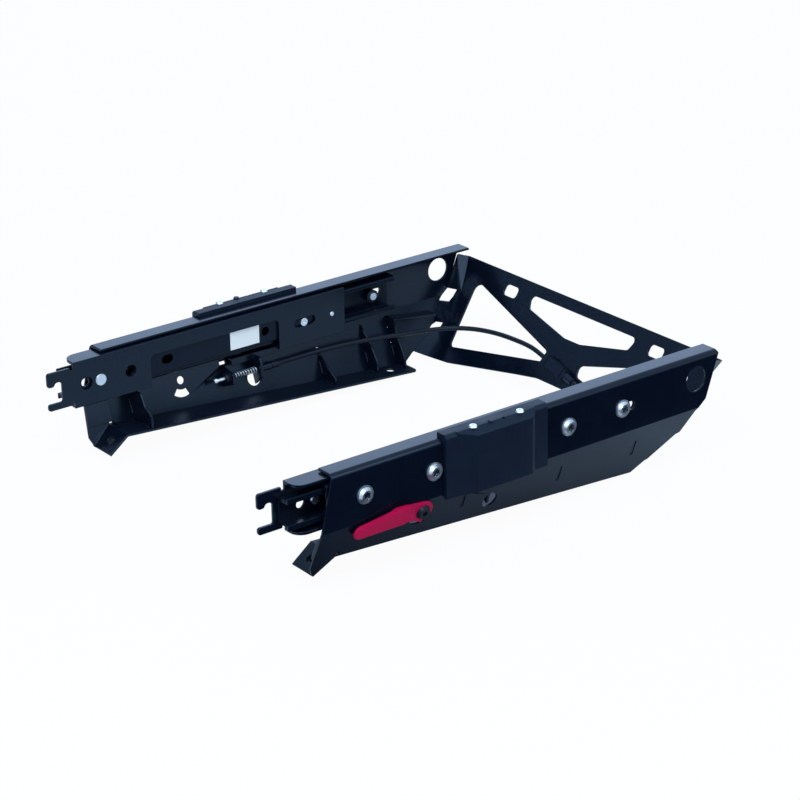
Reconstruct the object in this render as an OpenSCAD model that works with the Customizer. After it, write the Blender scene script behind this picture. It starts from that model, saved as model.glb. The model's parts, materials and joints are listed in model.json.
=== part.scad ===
// Pair of seat slide rails in a folded sheet-steel sub-frame with a release lever.
// Millimetres. X across the seat with the lever on the +X side, the hooks point to -Y, +Z up.
// Stations along Y are counted from the middle of the plastic covers.

/* [Side panels] */
// Width over the outer faces of the two side panels
frame_w = 402; // [390:1:430]
// Height of the top flange above the lower edge of the cross brace
panel_h = 112; // [111:0.5:116]
// Thickness of the folded sheet
panel_t = 2.5; // [2:0.1:3]
// Outer radius of the fold along the top edge
panel_fold_r = 5; // [4:0.5:7]
// Width of the top flange that covers the rail
top_flange_w = 21; // [18:0.5:23]
// Station of the front end of the top flange
panel_front = -181; // [-186:1:-176]
// Station of the rear end of the top flange
panel_rear = 277; // [272:1:284]
// Height of the upright wall between the top flange and the fold
wall_h = 54; // [53:0.5:58]
// Lean of the lower wall towards the middle, in degrees
lower_lean = 20.4; // [18:0.2:22]
// Reach of the floor flange from the foot of the lower wall towards the middle
floor_flange_w = 26.5; // [24:0.5:30]
// Diameter of the lightening hole at the rear
rear_hole_d = 25; // [20:0.5:28]

/* [Feet] */
// Height of the floor flange where the front sole is bent down
sole_bend_z = 26.5; // [24:0.5:29]
// Height of the front edge of the sole
sole_tip_z = 11; // [8:0.5:14]
// Diameter of the bolt holes in the feet
foot_bolt_d = 9; // [8.4:0.1:11]
// Thickness of the gusset plates
gusset_t = 2.5; // [2:0.1:3]

/* [Cross brace] */
// Thickness of the cross brace
brace_t = 2.5; // [2:0.1:3.5]
// Lean of the cross brace from upright, in degrees
brace_lean = 33.5; // [32:0.5:35]
// Station of the cross brace at the level of the rails
brace_y = 277.3; // [274:0.5:282]

/* [Rails] */
// Drop of the rail axis below the top flange
rail_drop = 28.4; // [28:0.1:29]
// Sheet thickness of the rail sections
rail_t = 2.3; // [2:0.1:2.5]
// Height of the fixed rail section
fixed_rail_h = 38; // [37:0.5:39]
// Depth of the fixed rail section
fixed_rail_d = 16; // [15:0.5:17]
// Length of the fixed rail
fixed_rail_l = 364; // [350:1:380]
// Length of the sliding rail
sliding_rail_l = 331; // [320:1:340]
// Diameter of the bearing balls
ball_d = 4.4; // [4:0.1:5]

/* [Hook brackets] */
// Sheet thickness of the hook bracket
bracket_t = 3; // [2.5:0.1:3.5]
// Height of the bracket over its two flanges
bracket_h = 47.8; // [47:0.1:48.5]
// Width of the bracket's flanges, measured over the web
bracket_flange_w = 20.5; // [19:0.1:21]
// Station of the front of the hooks
hook_front = -244.5; // [-248:0.5:-240]
// Height of the mouth of the hook
hook_mouth_h = 17.5; // [16:0.5:20]

/* [Fasteners] */
// Head diameter of the panel screws
screw_head_d = 17.5; // [16:0.5:19]
// Shank diameter of the panel screws
screw_d = 8; // [6:0.1:8.5]

/* [Covers] */
// Length of the plastic covers along the rail
cover_l = 118; // [110:1:124]
// Height of the covers above the top flange
cover_rise = 4; // [3:0.1:5]
// Wall of the covers on the outside of the panels
cover_t = 4; // [3.5:0.1:5]
// Extra thickness of the raised middle field
cover_field_t = 5.3; // [4.5:0.1:6]

/* [Release lever] */
// Length of the red grip
grip_l = 64; // [55:1:70]
// Width of the red grip
grip_w = 21; // [18:0.5:23]
// Thickness of the red grip
grip_t = 5.3; // [4.5:0.1:6]
// Diameter of the lever's pivot
pivot_d = 8; // [7:0.1:8.5]

/* [Release cable] */
// Diameter of the cable sheath
cable_d = 5; // [4:0.1:6]
// Outer diameter of the return spring
spring_d = 7; // [6:0.1:8]
// Wire diameter of the return spring
spring_wire_d = 0.9; // [0.7:0.1:1.2]

/* [Hidden] */
$fn = 48;
// Small overlap that keeps cuts clean
eps = 0.01;
// Running gap between a pivot and its bore
pivot_gap = 0.05;
// Gap between a tab and its slot
slot_gap = 0.35;
// Gap at a ball
ball_gap = 0.05;
// Gap between pieces that pass each other
pass_gap = 1;

// Faces of the panel on the +X side
outer_x = frame_w / 2;
inner_x = outer_x - panel_t;
fold_z = panel_h - wall_h;
flange_x = outer_x - top_flange_w;
lean_k = tan(lower_lean);
fold_in_z = fold_z + panel_t * tan(lower_lean / 2);
front_slope = 12.5;
panel_foot = panel_front - front_slope;
tail_low = [panel_rear - 27.5, fold_z - 3];
tail_mid = [panel_rear - 15.2, panel_h - 47];

// Floor flange and sole, as stations and heights of the lower face
floor_rear = [184, 1.8];
floor_front = [-172, sole_bend_z];
sole_tip = [-192.5, sole_tip_z];
floor_slope = (floor_front[1] - floor_rear[1]) / (floor_rear[0] - floor_front[0]);
floor_in_x = lean_x(0) - floor_flange_w;
floor_corner_r = 4;
web_rear_low = 184.6;

// Rails on the +X side
rail_z = panel_h - rail_drop;
fixed_rear = 178;
fixed_front = fixed_rear - fixed_rail_l;
fixed_tip_x = inner_x - fixed_rail_d;
track_x = inner_x - fixed_rail_d / 2 - 2.2;
sliding_front = -224;
sliding_rear = sliding_front + sliding_rail_l;
sliding_half_h = fixed_rail_h / 2 - rail_t - ball_d - 2 * ball_gap;
sliding_tip_x = inner_x - 2 * rail_t - 2.2;
web_x = fixed_tip_x - 2 - rail_t;
rail_lip = 3.2;

// Hook bracket on the +X side
bracket_top = panel_h - panel_t - pass_gap;
bracket_low = bracket_top - bracket_h;
bracket_x = web_x - bracket_t;
bracket_front = -215.5;
bracket_rear = sliding_rear + 0.5;
window_front = -128;
window_rear = 25;
window_top = rail_z + 10;
hook_top = rail_z + 20.2;

// Stations of the fasteners
screw_y = [-146.7, -cover_l / 2 - 10.9, cover_l / 2 + 28.4, cover_l / 2 + 95.1];
sight_hole_y = [-201.3, -151.2];
sight_hole_d = [13, 12];
rail_sight_d = [8.5, 12];
rivet_y = -185.7;
rivet_d = 12.3;
slot_y = [44, 70.5];
slot_h = 9;
slot_screw_y = 55.7;
pin_rivet_y = 91.2;
rail_hole_y = [-107, 10.4];
rail_hole_d = 9;
rail_slot_l = 13;

// Places on the leaning lower wall: station and height
lever_at = [-82.5, fold_z - 9.5];
eye_at = [1.5, fold_z - 27];
eye_d = 16;
gusset_y = [-143, 84, 142, 176.5];
slit_l = 17;
slit_z = fold_z - 24;
latch_y = -32.6;
latch_slit_z = fold_z - 15;
stop_y = 2;
rod_x = outer_x - 19;
rod_z = fold_z - 14.3;
rod_d = 4;
rod_hole_d = rod_d + 0.1;

// Heights of the cross brace: top edge, level of its station, lower corners that rest on the ground
brace_top = panel_h - 15.5;
brace_ref_z = panel_h - 30.3;
brace_low = brace_t * sin(brace_lean);

// The whole part sits with the middle of its box over the origin
box_front = hook_front;
box_rear = brace_at(brace_top) + brace_t * cos(brace_lean);
shift_y = -(box_front + box_rear) / 2;

// Sheet paths: unit vectors, rounded corners and offsets

function unit(v) = v / norm(v);
function left_of(a, b) = let (d = unit(b - a)) [-d[1], d[0]];

// Arc of radius r in the corner b between a and c
function corner(a, b, c, r, n = 5) =
    let (u = unit(a - b), w = unit(c - b), half = acos(u * w) / 2)
    r <= 0 ? [b] :
    let (m = b + unit(u + w) * r / sin(half),
         p = b + u * r / tan(half) - m,
         q = b + w * r / tan(half) - m,
         a0 = atan2(p[1], p[0]),
         turn = atan2(p[0] * q[1] - p[1] * q[0], p * q))
    [for (i = [0:n]) m + r * [cos(a0 + turn * i / n), sin(a0 + turn * i / n)]];

// Open path with its inner corners rounded
function rounded_path(p, r) =
    [p[0], for (i = [1:len(p) - 2]) each corner(p[i - 1], p[i], p[i + 1], r), p[len(p) - 1]];

// Closed outline, one radius for each corner
function rounded_loop(p, r) =
    [for (i = [0:len(p) - 1])
        each corner(p[(i + len(p) - 1) % len(p)], p[i], p[(i + 1) % len(p)], r[i])];

// Point of the path moved to its left by t, with mitred corners
function beside(p, i, t) =
    let (n = len(p),
         before = i > 0 ? left_of(p[i - 1], p[i]) : left_of(p[0], p[1]),
         after = i < n - 1 ? left_of(p[i], p[i + 1]) : before,
         mid = unit(before + after))
    p[i] + mid * t / (mid * after);

// Outline of a sheet of thickness t along a path
function sheet(p, t) = concat(p, [for (i = [len(p) - 1:-1:0]) beside(p, i, t)]);

// The lean wall's outer face at a height, and the floor's upper face at a station
function lean_x(z) = outer_x - lean_k * (fold_z - z);
function lean_in_x(z) = inner_x - lean_k * (fold_in_z - z);
function floor_top(y) = floor_front[1] - floor_slope * (y - floor_front[0]) + panel_t;

// Placing helpers

// Draws a piece of the +X side there (side = 1) or mirrored (side = -1)
module on_side(side) {
    translate([0, shift_y, 0])
        mirror([side < 0 ? 1 : 0, 0, 0])
            children();
}

// Extrudes an outline in X and Z from station y0 to y1
module along_y(y0, y1) {
    translate([0, y1, 0])
        rotate([90, 0, 0])
            linear_extrude(y1 - y0)
                children();
}

// Extrudes an outline in Y and Z from x0 to x1
module along_x(x0, x1) {
    translate([x0, 0, 0])
        rotate([90, 0, 90])
            linear_extrude(x1 - x0)
                children();
}

// Local frame on the lean wall: X down the wall, Y along the rail, Z outwards
module on_lean(at) {
    translate([lean_x(at[1]), at[0], at[1]])
        rotate([0, 90 + lower_lean, 0])
            children();
}

// Round hole along X
module x_hole(y, z, d, x0, x1) {
    translate([x0, y, z])
        rotate([0, 90, 0])
            cylinder(d = d, h = x1 - x0);
}

// Slot along Y, cut along X
module x_slot(y0, y1, z, h, x0, x1) {
    x_hole(y0 + h / 2, z, h, x0, x1);
    x_hole(y1 - h / 2, z, h, x0, x1);
    translate([x0, y0 + h / 2, z - h / 2])
        cube([x1 - x0, y1 - y0 - h, h]);
}

// Side panel: one folded sheet with its floor flange and the front sole

// Section of the upright and the leaning wall with the top flange
module panel_section() {
    low = -8;
    top_corner = [outer_x, panel_h];
    path = concat(
        [[flange_x, panel_h]],
        corner([flange_x, panel_h], top_corner, [outer_x, fold_z], panel_fold_r),
        [[outer_x, fold_z], [lean_x(low), low]]);
    polygon(sheet(path, -panel_t));
}

// Side view of the walls
module panel_outline() {
    polygon(concat(
        [[panel_front, panel_h + 1],
         [panel_front, panel_h],
         [panel_foot, fold_z],
         [panel_foot - 4, sole_tip_z + 10],
         sole_tip + [-1.2, 1.6]],
        [sole_tip, floor_front,
         [web_rear_low, floor_top(web_rear_low) - panel_t],
         [199.5, 11.5],
         [203, 12.2],
         [232, 32.5],
         [237, 33.5],
         tail_low],
        corner(tail_low, tail_mid, [panel_rear, panel_h - 3], 3),
        corner(tail_mid, [panel_rear, panel_h - 3], [panel_rear - 2, panel_h + 1], 2),
        [[panel_rear - 2, panel_h + 1]]));
}

// Room between the inner edge of the floor flange and the outer face of the lean wall
module floor_room() {
    polygon([[floor_in_x, -1], [lean_x(-1), -1], [outer_x, fold_z], [floor_in_x, fold_z]]);
}

module floor_and_sole() {
    intersection() {
        along_x(floor_in_x, outer_x)
            polygon(sheet([floor_rear, floor_front, sole_tip], -panel_t));
        along_y(sole_tip[0] - 5, floor_rear[0])
            floor_room();
        floor_plan();
    }
}

// Plan view of the floor flange with its rounded rear corner
module floor_plan() {
    r = floor_corner_r;
    a = [floor_in_x, sole_tip[0] - 5];
    b = [outer_x, sole_tip[0] - 5];
    c = [outer_x, floor_rear[0]];
    d = [floor_in_x, floor_rear[0]];
    translate([0, 0, -1])
        linear_extrude(fold_z)
            polygon(rounded_loop([a, b, c, d], [0, 0, 0, r]));
}

// Bolt holes of the two feet
module foot_holes() {
    sole_mid = (floor_front + sole_tip) / 2;
    sole_deg = atan2(floor_front[1] - sole_tip[1], floor_front[0] - sole_tip[0]);
    translate([foot_hole_x(), sole_mid[0], sole_mid[1]])
        rotate([sole_deg, 0, 0])
            cylinder(d = foot_bolt_d, h = 12, center = true);
    translate([foot_hole_x(), rear_bolt_y(), floor_top(rear_bolt_y())])
        rotate([-atan(floor_slope), 0, 0])
            cylinder(d = foot_bolt_d, h = 12, center = true);
}

function foot_hole_x() = floor_in_x + 15;
function rear_bolt_y() = (gusset_y[2] + gusset_y[3]) / 2;

// Relief at the corner where the floor flange turns down into the sole
module relief_cut() {
    y = floor_front[0];
    z = floor_front[1];
    along_x(floor_in_x + 20, outer_x + 2)
        polygon([[y - 1, z + panel_t], [y + 4, z + panel_t - 0.3], [y + 3, z + panel_t + 3.2]]);
}

// Flap of the sole that is folded up inside the lower wall
flap_t = 2;
flap_rear = -168;
module sole_flap() {
    top = fold_z - 6;
    low = floor_front[1] + panel_t + 2;
    t = flap_t / cos(lower_lean);
    intersection() {
        along_y(panel_foot - 6, flap_rear)
            polygon([[lean_in_x(low) - t, low], [lean_in_x(low) + 0.2, low], [lean_in_x(top) + 0.2, top],
                     [lean_in_x(top) - t, top]]);
        along_x(floor_in_x, outer_x + 1)
            panel_outline();
    }
}

// Slits for the gussets' tabs, the lever's pivot and slot, and the round eye
module lean_holes() {
    depth = 12;
    for (y = [gusset_y[1], gusset_y[3]])
        on_lean([y, slit_z])
            cube([slit_l, gusset_t + 2 * slot_gap, depth], center = true);
    on_lean([latch_y, latch_slit_z])
        cube([slit_l, gusset_t + 2 * slot_gap, depth], center = true);
    on_lean(lever_at)
        cylinder(d = pivot_d + 2 * pivot_gap, h = depth, center = true);
    on_lean(lever_at)
        translate([0, 0, -depth / 2])
            linear_extrude(depth)
                stop_slot();
    on_lean(eye_at)
        cylinder(d = eye_d, h = depth, center = true);
}

// Curved slot below the lever's pivot that limits its swing
stop_slot_r = [9.5, 17];
stop_slot_arc = [-40, 24];
module stop_slot() {
    steps = 8;
    arc = [for (i = [0:steps]) stop_slot_arc[0] + (stop_slot_arc[1] - stop_slot_arc[0]) * i / steps];
    polygon(concat(
        [for (a = arc) stop_slot_r[1] * [cos(a), sin(a)]],
        [for (i = [steps:-1:0]) stop_slot_r[0] * [cos(arc[i]), sin(arc[i])]]));
}

module side_panel(side) {
    through = [inner_x - 2, outer_x + 2];
    color("#10151d") on_side(side)
        difference() {
            union() {
                intersection() {
                    along_y(panel_foot - 6, panel_rear + 1)
                        panel_section();
                    along_x(floor_in_x, outer_x + 1)
                        panel_outline();
                }
                floor_and_sole();
                sole_flap();
            }
            x_hole(248, panel_h - 23.5, rear_hole_d, through[0], through[1]);
            for (i = [0:2])
                x_hole(screw_y[i], rail_z, screw_d + 0.6, through[0], through[1]);
            x_slot(screw_y[3] - 4.5, screw_y[3] + 16, rail_z, screw_d + 0.6, through[0], through[1]);
            translate([inner_x - 4, latch_y - 2, fold_z - 6])
                cube([8, 7, 5]);
            foot_holes();
            relief_cut();
            lean_holes();
        }
}

// Gussets between the lean wall and the floor flange

// Section of a gusset: from the wall at height top over the points of its free edge to the floor
module gusset_section(y, top, edge) {
    low = floor_top(y - gusset_t / 2) + 0.02;
    polygon(concat(
        [[lean_in_x(top), top]],
        edge,
        [[edge[len(edge) - 1][0], low], [lean_in_x(low), low]]));
}

// Tab that fills the slit in the lean wall
module gusset_tab(y, z) {
    on_lean([y, z])
        translate([-slit_l / 2 + slot_gap, -gusset_t / 2, -panel_t - 1])
            cube([slit_l - 2 * slot_gap, gusset_t, panel_t + 0.4]);
}

module gusset(y, top, edge) {
    along_y(y - gusset_t / 2, y + gusset_t / 2)
        gusset_section(y, top, edge);
}

// Front gusset: free edge from the top's two points near the wall down to the floor flange
front_top_in = [18.57, 25.57];
front_edge_share = [0.613, 0.4195, 0.226];
module front_gusset(side) {
    in = floor_in_x + 1;
    low = floor_top(gusset_y[0]);
    rise = [for (share = front_edge_share) low + share * (fold_z - low)];
    edge = rounded_path(
        [[inner_x - front_top_in[0], fold_z], [inner_x - front_top_in[1], fold_z],
         [in + 12, rise[0]], [in + 1, rise[1]], [in, rise[2]]], 2);
    color("#0d1117") on_side(side)
        gusset(gusset_y[0], fold_z - 1, edge);
}

module mid_gusset(side) {
    in = floor_in_x + 8;
    color("#0d1117") on_side(side) {
        gusset(gusset_y[1], fold_z - 20, [[in + 26, fold_z - 23], [in, 17.6]]);
        gusset_tab(gusset_y[1], slit_z);
    }
}

// Two rear gussets; the last one carries a shelf that runs to the brace
shelf_y = [176.5, 224, 231];
shelf_z = [fold_z - 3.5, fold_z - 9.5, fold_z - 10];
module rear_gussets(side) {
    in = floor_in_x + 10.5;
    color("#0d1117") on_side(side) {
        gusset(gusset_y[2], fold_z - 5, [[in + 16, fold_z - 19], [in + 2.6, 19]]);
        gusset(gusset_y[3], shelf_z[0],
            [[in + 18, shelf_z[0]], [in + 15, fold_z - 19], [in + 2.5, 19], [in, 10]]);
        gusset_tab(gusset_y[3], slit_z);
        intersection() {
            along_x(in + 17, inner_x)
                polygon(sheet([for (i = [2:-1:0]) [shelf_y[i], shelf_z[i]]], gusset_t));
            along_y(shelf_y[0] - gusset_t / 2, shelf_y[2] + 1)
                polygon([[in, 20], [lean_in_x(20), 20], [lean_in_x(fold_in_z), fold_in_z], [in, fold_in_z]]);
        }
    }
}

// Cross brace: leaning plate with triangular cut-outs and bent side wings

brace_arch = 21.5;
// Drops of the top opening's edges and of the side openings' upper corner below the top edge
top_cut_drop = [10.5, 22.5, 34];
side_cut_drop = 17.5;
// Rises of the side openings' inner corners above the arch, and of their foot above the lower corners
side_cut_rise = [24.5, 15];
side_cut_foot = 14.12;
side_cut_x = [165.5, 162];
bend_top_x = inner_x - 4.5;
bend_low_x = 155;

// Station of the plate's front face at a height
function brace_at(z) = brace_y + tan(brace_lean) * (z - brace_ref_z);
// In-plane point for a place given by x and height
function in_brace(x, z) = [x, (z - brace_ref_z) / cos(brace_lean)];
// Inner face of the panel at a height
function wall_x(z) = z > fold_in_z ? inner_x : lean_in_x(z);
// Bend line between the plate and its wing at a height
function bend_x(z) = bend_low_x + (bend_top_x - bend_low_x) * (z - brace_low) / (brace_top - brace_low);

// Local frame of the plate: X across, Y to the rear, Z up along the plate
module on_brace() {
    translate([0, brace_y, brace_ref_z])
        rotate([-brace_lean, 0, 0])
            children();
}

module brace_outline() {
    half = [in_brace(bend_top_x, brace_top), in_brace(bend_low_x, brace_low),
            in_brace(52, brace_arch - 4), in_brace(24, brace_arch)];
    other = [for (i = [len(half) - 1:-1:0]) [-half[i][0], half[i][1]]];
    polygon(rounded_loop(concat(half, other), [0, 0, 40, 40, 40, 40, 0, 0]));
}

// Triangle beside the side leg, round in its corners
module brace_side_cut() {
    polygon(rounded_loop(
        [in_brace(side_cut_x[0], brace_top - side_cut_drop),
         in_brace(25, brace_arch + side_cut_rise[0]), in_brace(27, brace_arch + side_cut_rise[1]),
         in_brace(side_cut_x[1], brace_low + side_cut_foot)],
        [8, 5, 5, 5]));
}

// Flat triangle under the top edge
module brace_top_cut() {
    z = [for (drop = top_cut_drop) brace_top - drop];
    loop = [in_brace(-82, z[0]), in_brace(82, z[0]), in_brace(76, z[1]), in_brace(12, z[2]),
            in_brace(-12, z[2]), in_brace(-76, z[1])];
    polygon(rounded_loop(loop, [5, 5, 4, 18, 18, 4]));
}

module brace_square_cut() {
    c = in_brace(112, brace_ref_z);
    translate(c)
        polygon(rounded_loop([[-10, -6], [10, -6], [10, 6], [-10, 6]], [4, 4, 4, 4]));
}

module brace_plate() {
    on_brace()
        translate([0, brace_t, 0])
            rotate([90, 0, 0])
                linear_extrude(brace_t)
                    brace_outline();
}

// Everything that is cut through the plate, and the part of the wings beside it
module brace_cuts() {
    depth = 24;
    on_brace()
        translate([0, depth / 2, 0])
            rotate([90, 0, 0])
                linear_extrude(depth) {
                    brace_top_cut();
                    for (s = [0, 1])
                        mirror([s, 0, 0]) {
                            brace_side_cut();
                            brace_square_cut();
                        }
                }
}

// Rows of a wing: height on the bend line, then station and height on the panel
wing_rows = [[brace_top, 274, panel_h - 12], [fold_z + 7, 259.5, fold_z + 7], [fold_z - 4, 246.5, fold_z - 4],
             [fold_z - 24, 234, fold_z - 24], [brace_low, 200, 12]];
wing_gap_l = 50;

// Wing that reaches from the plate's bend line forward to the panel
module brace_wing() {
    n = len(wing_rows);
    gap = 0.05;
    bend = [for (w = wing_rows) [bend_x(w[0]) - eps, brace_at(w[0]), w[0]]];
    edge = [for (w = wing_rows) [wall_x(w[2]) - gap, w[1], w[2]]];
    back = [0, brace_t * cos(brace_lean), -brace_t * sin(brace_lean)];
    deep = [0, brace_t / cos(brace_lean), 0];
    pts = concat(bend, edge, [for (p = bend) p + back], [for (p = edge) p + deep]);
    front = [for (i = [0:n - 2]) each [[i, n + i, i + 1], [n + i, n + i + 1, i + 1]]];
    rear = [for (f = front) [f[2] + 2 * n, f[1] + 2 * n, f[0] + 2 * n]];
    inner = [for (i = [0:n - 2]) each [[i, i + 1, 2 * n + i], [i + 1, 2 * n + i + 1, 2 * n + i]]];
    outer = [for (i = [0:n - 2]) each [[n + i, 3 * n + i, n + i + 1], [n + i + 1, 3 * n + i, 3 * n + i + 1]]];
    top = [[0, 2 * n, n], [n, 2 * n, 3 * n]];
    low = [[n - 1, 2 * n - 1, 3 * n - 1], [2 * n - 1, 4 * n - 1, 3 * n - 1]];
    polyhedron(pts, concat(front, rear, inner, outer, top, low));
}

// Openings between the wing's tabs, at the panel's edge
module wing_gaps() {
    translate([outer_x - 14, 230, fold_z - 4])
        cube([14, wing_gap_l, 11]);
    translate([outer_x - 20, 215, fold_z - 29])
        cube([20, wing_gap_l, 6]);
}

module cross_brace() {
    color("#0f141c") translate([0, shift_y, 0])
        difference() {
            union() {
                brace_plate();
                for (s = [0, 1])
                    mirror([s, 0, 0])
                        difference() {
                            brace_wing();
                            wing_gaps();
                        }
            }
            brace_cuts();
        }
}

// Rails

// Fixed rail: C section with turned-in lips, on the panel's inner face
module fixed_rail(side) {
    h = fixed_rail_h / 2;
    path = [[fixed_tip_x, h - rail_t - rail_lip], [fixed_tip_x, h], [inner_x, h], [inner_x, -h],
            [fixed_tip_x, -h], [fixed_tip_x, -h + rail_t + rail_lip]];
    color("#141a22") on_side(side)
        difference() {
            translate([0, 0, rail_z])
                along_y(fixed_front, fixed_rear)
                    polygon(sheet(rounded_path(path, 3), -rail_t));
            for (i = [0:2])
                x_hole(screw_y[i], rail_z, screw_d + 0.6, inner_x - 5, inner_x + 2);
            x_slot(screw_y[3] - 4.5, screw_y[3] + 16, rail_z, screw_d + 0.6, inner_x - 5, inner_x + 2);
        }
}

// Sliding rail: C section with turned-out lips, nested in the fixed rail
module sliding_rail(side) {
    h = sliding_half_h;
    path = [[sliding_tip_x, h + rail_lip], [sliding_tip_x, h], [web_x, h], [web_x, -h],
            [sliding_tip_x, -h], [sliding_tip_x, -h - rail_lip]];
    color("#19212b") on_side(side)
        difference() {
            translate([0, 0, rail_z])
                along_y(sliding_front, sliding_rear)
                    polygon(sheet(path, rail_t));
            for (i = [0, 1])
                x_hole(sight_hole_y[i], rail_z, rail_sight_d[i], web_x - 1, web_x + 4);
            x_slot(rail_hole_y[0] - rail_slot_l / 2, rail_hole_y[0] + rail_slot_l / 2, rail_z, rail_hole_d,
                web_x - 1, web_x + 4);
            x_hole(rail_hole_y[1], rail_z, rail_hole_d, web_x - 1, web_x + 4);
            x_hole(rivet_y, rail_z, rivet_shank_d, web_x - 1, web_x + 4);
            x_hole(slot_screw_y, rail_z, slot_screw_d, web_x - 1, web_x + 4);
            x_hole(pin_rivet_y, rail_z, pin_rivet_d, web_x - 1, web_x + 4);
        }
}

// Stations of the balls: two groups in each track
ball_groups = [-130, 30];
ball_count = 4;
ball_pitch = 12;
track_z = fixed_rail_h / 2 - rail_t - ball_gap - ball_d / 2;

module ball_places() {
    for (y0 = ball_groups, i = [0:ball_count - 1], s = [-1, 1])
        translate([track_x, y0 + i * ball_pitch, rail_z + s * track_z])
            children();
}

module balls(side) {
    color("#c9ced6") on_side(side)
        ball_places()
            sphere(d = ball_d, $fn = 24);
}

// Cage: a strip in each track with a hole for every ball
cage_t = 1.6;
cage_w = 6;
module ball_cage(side) {
    l = ball_groups[1] - ball_groups[0] + (ball_count + 1) * ball_pitch;
    color("#2b3038") on_side(side)
        difference() {
            for (s = [-1, 1])
                translate([track_x - cage_w / 2, ball_groups[0] - ball_pitch,
                           rail_z + s * track_z - cage_t / 2])
                    cube([cage_w, l, cage_t]);
            ball_places()
                cylinder(d = ball_d + 0.2, h = cage_t + 1, center = true);
        }
}

// Hook bracket: web with the hook head, and flanges that wrap the rail

hook_tip_drop = 14.8;
hook_prong_h = 7;

// Side view of the web
module bracket_web() {
    mouth_top = hook_top - 11;
    mouth_low = mouth_top - hook_mouth_h - 3.5;
    back = hook_front + 16;
    relief = bracket_front - 3.5;
    loop = [[bracket_front, bracket_top - 0.5], [bracket_rear, bracket_top - 0.5],
        [bracket_rear, bracket_low + 0.5],
        [window_rear, bracket_low + 0.5], [window_rear, window_top], [window_front, window_top],
        [window_front, bracket_low + 0.5], [bracket_front, bracket_low + 0.5],
        [bracket_front, mouth_low - 5], [relief, mouth_low - 5], [relief, mouth_low - hook_prong_h],
        [hook_front, mouth_low - hook_prong_h], [hook_front, mouth_low], [back, mouth_low],
        [back, mouth_top], [hook_front + 8, mouth_top], [hook_front + 7.5, hook_top - hook_tip_drop],
        [hook_front, hook_top - hook_tip_drop], [hook_front, hook_top], [relief, hook_top],
        [relief, hook_top - 3.5], [bracket_front, hook_top - 3.5]];
    radii = [0, 2, 2, 2, 5, 5, 2, 0, 0, 0, 1, 2.5, 2.5, 1.5, 4, 3.2, 2.4, 2.8, 3, 1, 0, 0];
    polygon(rounded_loop(loop, radii));
}

// Plan view of a flange, from station y0 to y1, with rounded free corners
module bracket_flange(y0, y1, r0, z) {
    tip = bracket_x + bracket_flange_w;
    translate([0, 0, z])
        linear_extrude(bracket_t)
            polygon(rounded_loop([[bracket_x, y0], [tip, y0], [tip, y1], [bracket_x, y1]], [0, r0, 4, 0]));
}

module hook_bracket(side) {
    low_z = bracket_low;
    color("#171d26") on_side(side)
        difference() {
            union() {
                along_x(bracket_x, bracket_x + bracket_t)
                    bracket_web();
                bracket_flange(bracket_front, bracket_rear, 12, bracket_top - bracket_t);
                bracket_flange(bracket_front, window_front, 12, low_z);
                bracket_flange(window_rear, bracket_rear, 4, low_z);
            }
            for (i = [0, 1])
                x_hole(sight_hole_y[i], rail_z, sight_hole_d[i], bracket_x - 1, bracket_x + 4);
            x_slot(slot_y[0], slot_y[1], rail_z, slot_h, bracket_x - 1, bracket_x + 4);
            x_hole(rivet_y, rail_z, rivet_shank_d, bracket_x - 1, bracket_x + 4);
            x_hole(pin_rivet_y, rail_z, pin_rivet_d, bracket_x - 1, bracket_x + 4);
        }
}

// Rivets that join the bracket and the sliding rail
rivet_shank_d = 8;
pin_rivet_d = 3;
rivet_grip = bracket_t + rail_t;

// Rivet along X: flat head on the inside, shank through both sheets and an upset end
module rivet(y, head_d, head_h, shank_d) {
    translate([bracket_x - head_h, y, rail_z])
        rotate([0, 90, 0])
            cylinder(d1 = head_d - 1, d2 = head_d, h = head_h);
    translate([bracket_x - eps, y, rail_z])
        rotate([0, 90, 0])
            cylinder(d = shank_d, h = rivet_grip + 2 * eps);
    translate([bracket_x + rivet_grip, y, rail_z])
        rotate([0, 90, 0])
            cylinder(d1 = shank_d + 2, d2 = shank_d, h = 1.5);
}

module bracket_rivets(side) {
    color("#d5d8de") on_side(side) {
        rivet(rivet_y, rivet_d, 1.2, rivet_shank_d);
        rivet(pin_rivet_y, 5.2, 0.9, pin_rivet_d);
    }
}

// Screw that sits in the bracket's slot and holds the sliding rail
slot_screw_d = 5;
module slot_screw(side) {
    color("#c7ccd4") on_side(side)
        translate([bracket_x - 1.2, slot_screw_y, rail_z])
            rotate([0, 90, 0])
                difference() {
                    union() {
                        cylinder(d = slot_h - 0.6, h = bracket_t + 1.2);
                        cylinder(d = slot_screw_d, h = bracket_t + 1.2 + rail_t + 2);
                    }
                    translate([0, 0, -1])
                        cylinder(d = 4, h = 2.4, $fn = 6);
                }
}

// Blank silver label on the far sliding rail
module rail_label() {
    color("#d7dade") on_side(-1)
        translate([web_x - 0.15, -32.5, rail_z - 10])
            cube([0.15, 35, 19.5]);
}

// Panel screws with round flange heads and star sockets, and their nuts

head_h = 4.2;
nut_h = 6.5;
nut_af = 13;

// Star socket with six lobes
module star(d, h) {
    for (i = [0:5])
        rotate([0, 0, 60 * i])
            translate([d * 0.36, 0, 0])
                cylinder(d = d * 0.3, h = h);
    cylinder(d = d * 0.78, h = h);
}

module panel_screw(y) {
    translate([outer_x, y, rail_z])
        rotate([0, 90, 0])
            difference() {
                union() {
                    cylinder(d = screw_head_d, h = 1.3);
                    translate([0, 0, 1.3])
                        cylinder(d1 = screw_head_d - 3, d2 = screw_head_d - 6.5, h = head_h - 1.3);
                    translate([0, 0, -panel_t - rail_t - nut_h - 2])
                        cylinder(d = screw_d, h = panel_t + rail_t + nut_h + 2 + eps);
                }
                translate([0, 0, head_h - 2.6])
                    star(screw_d * 0.95, 3);
            }
}

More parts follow.
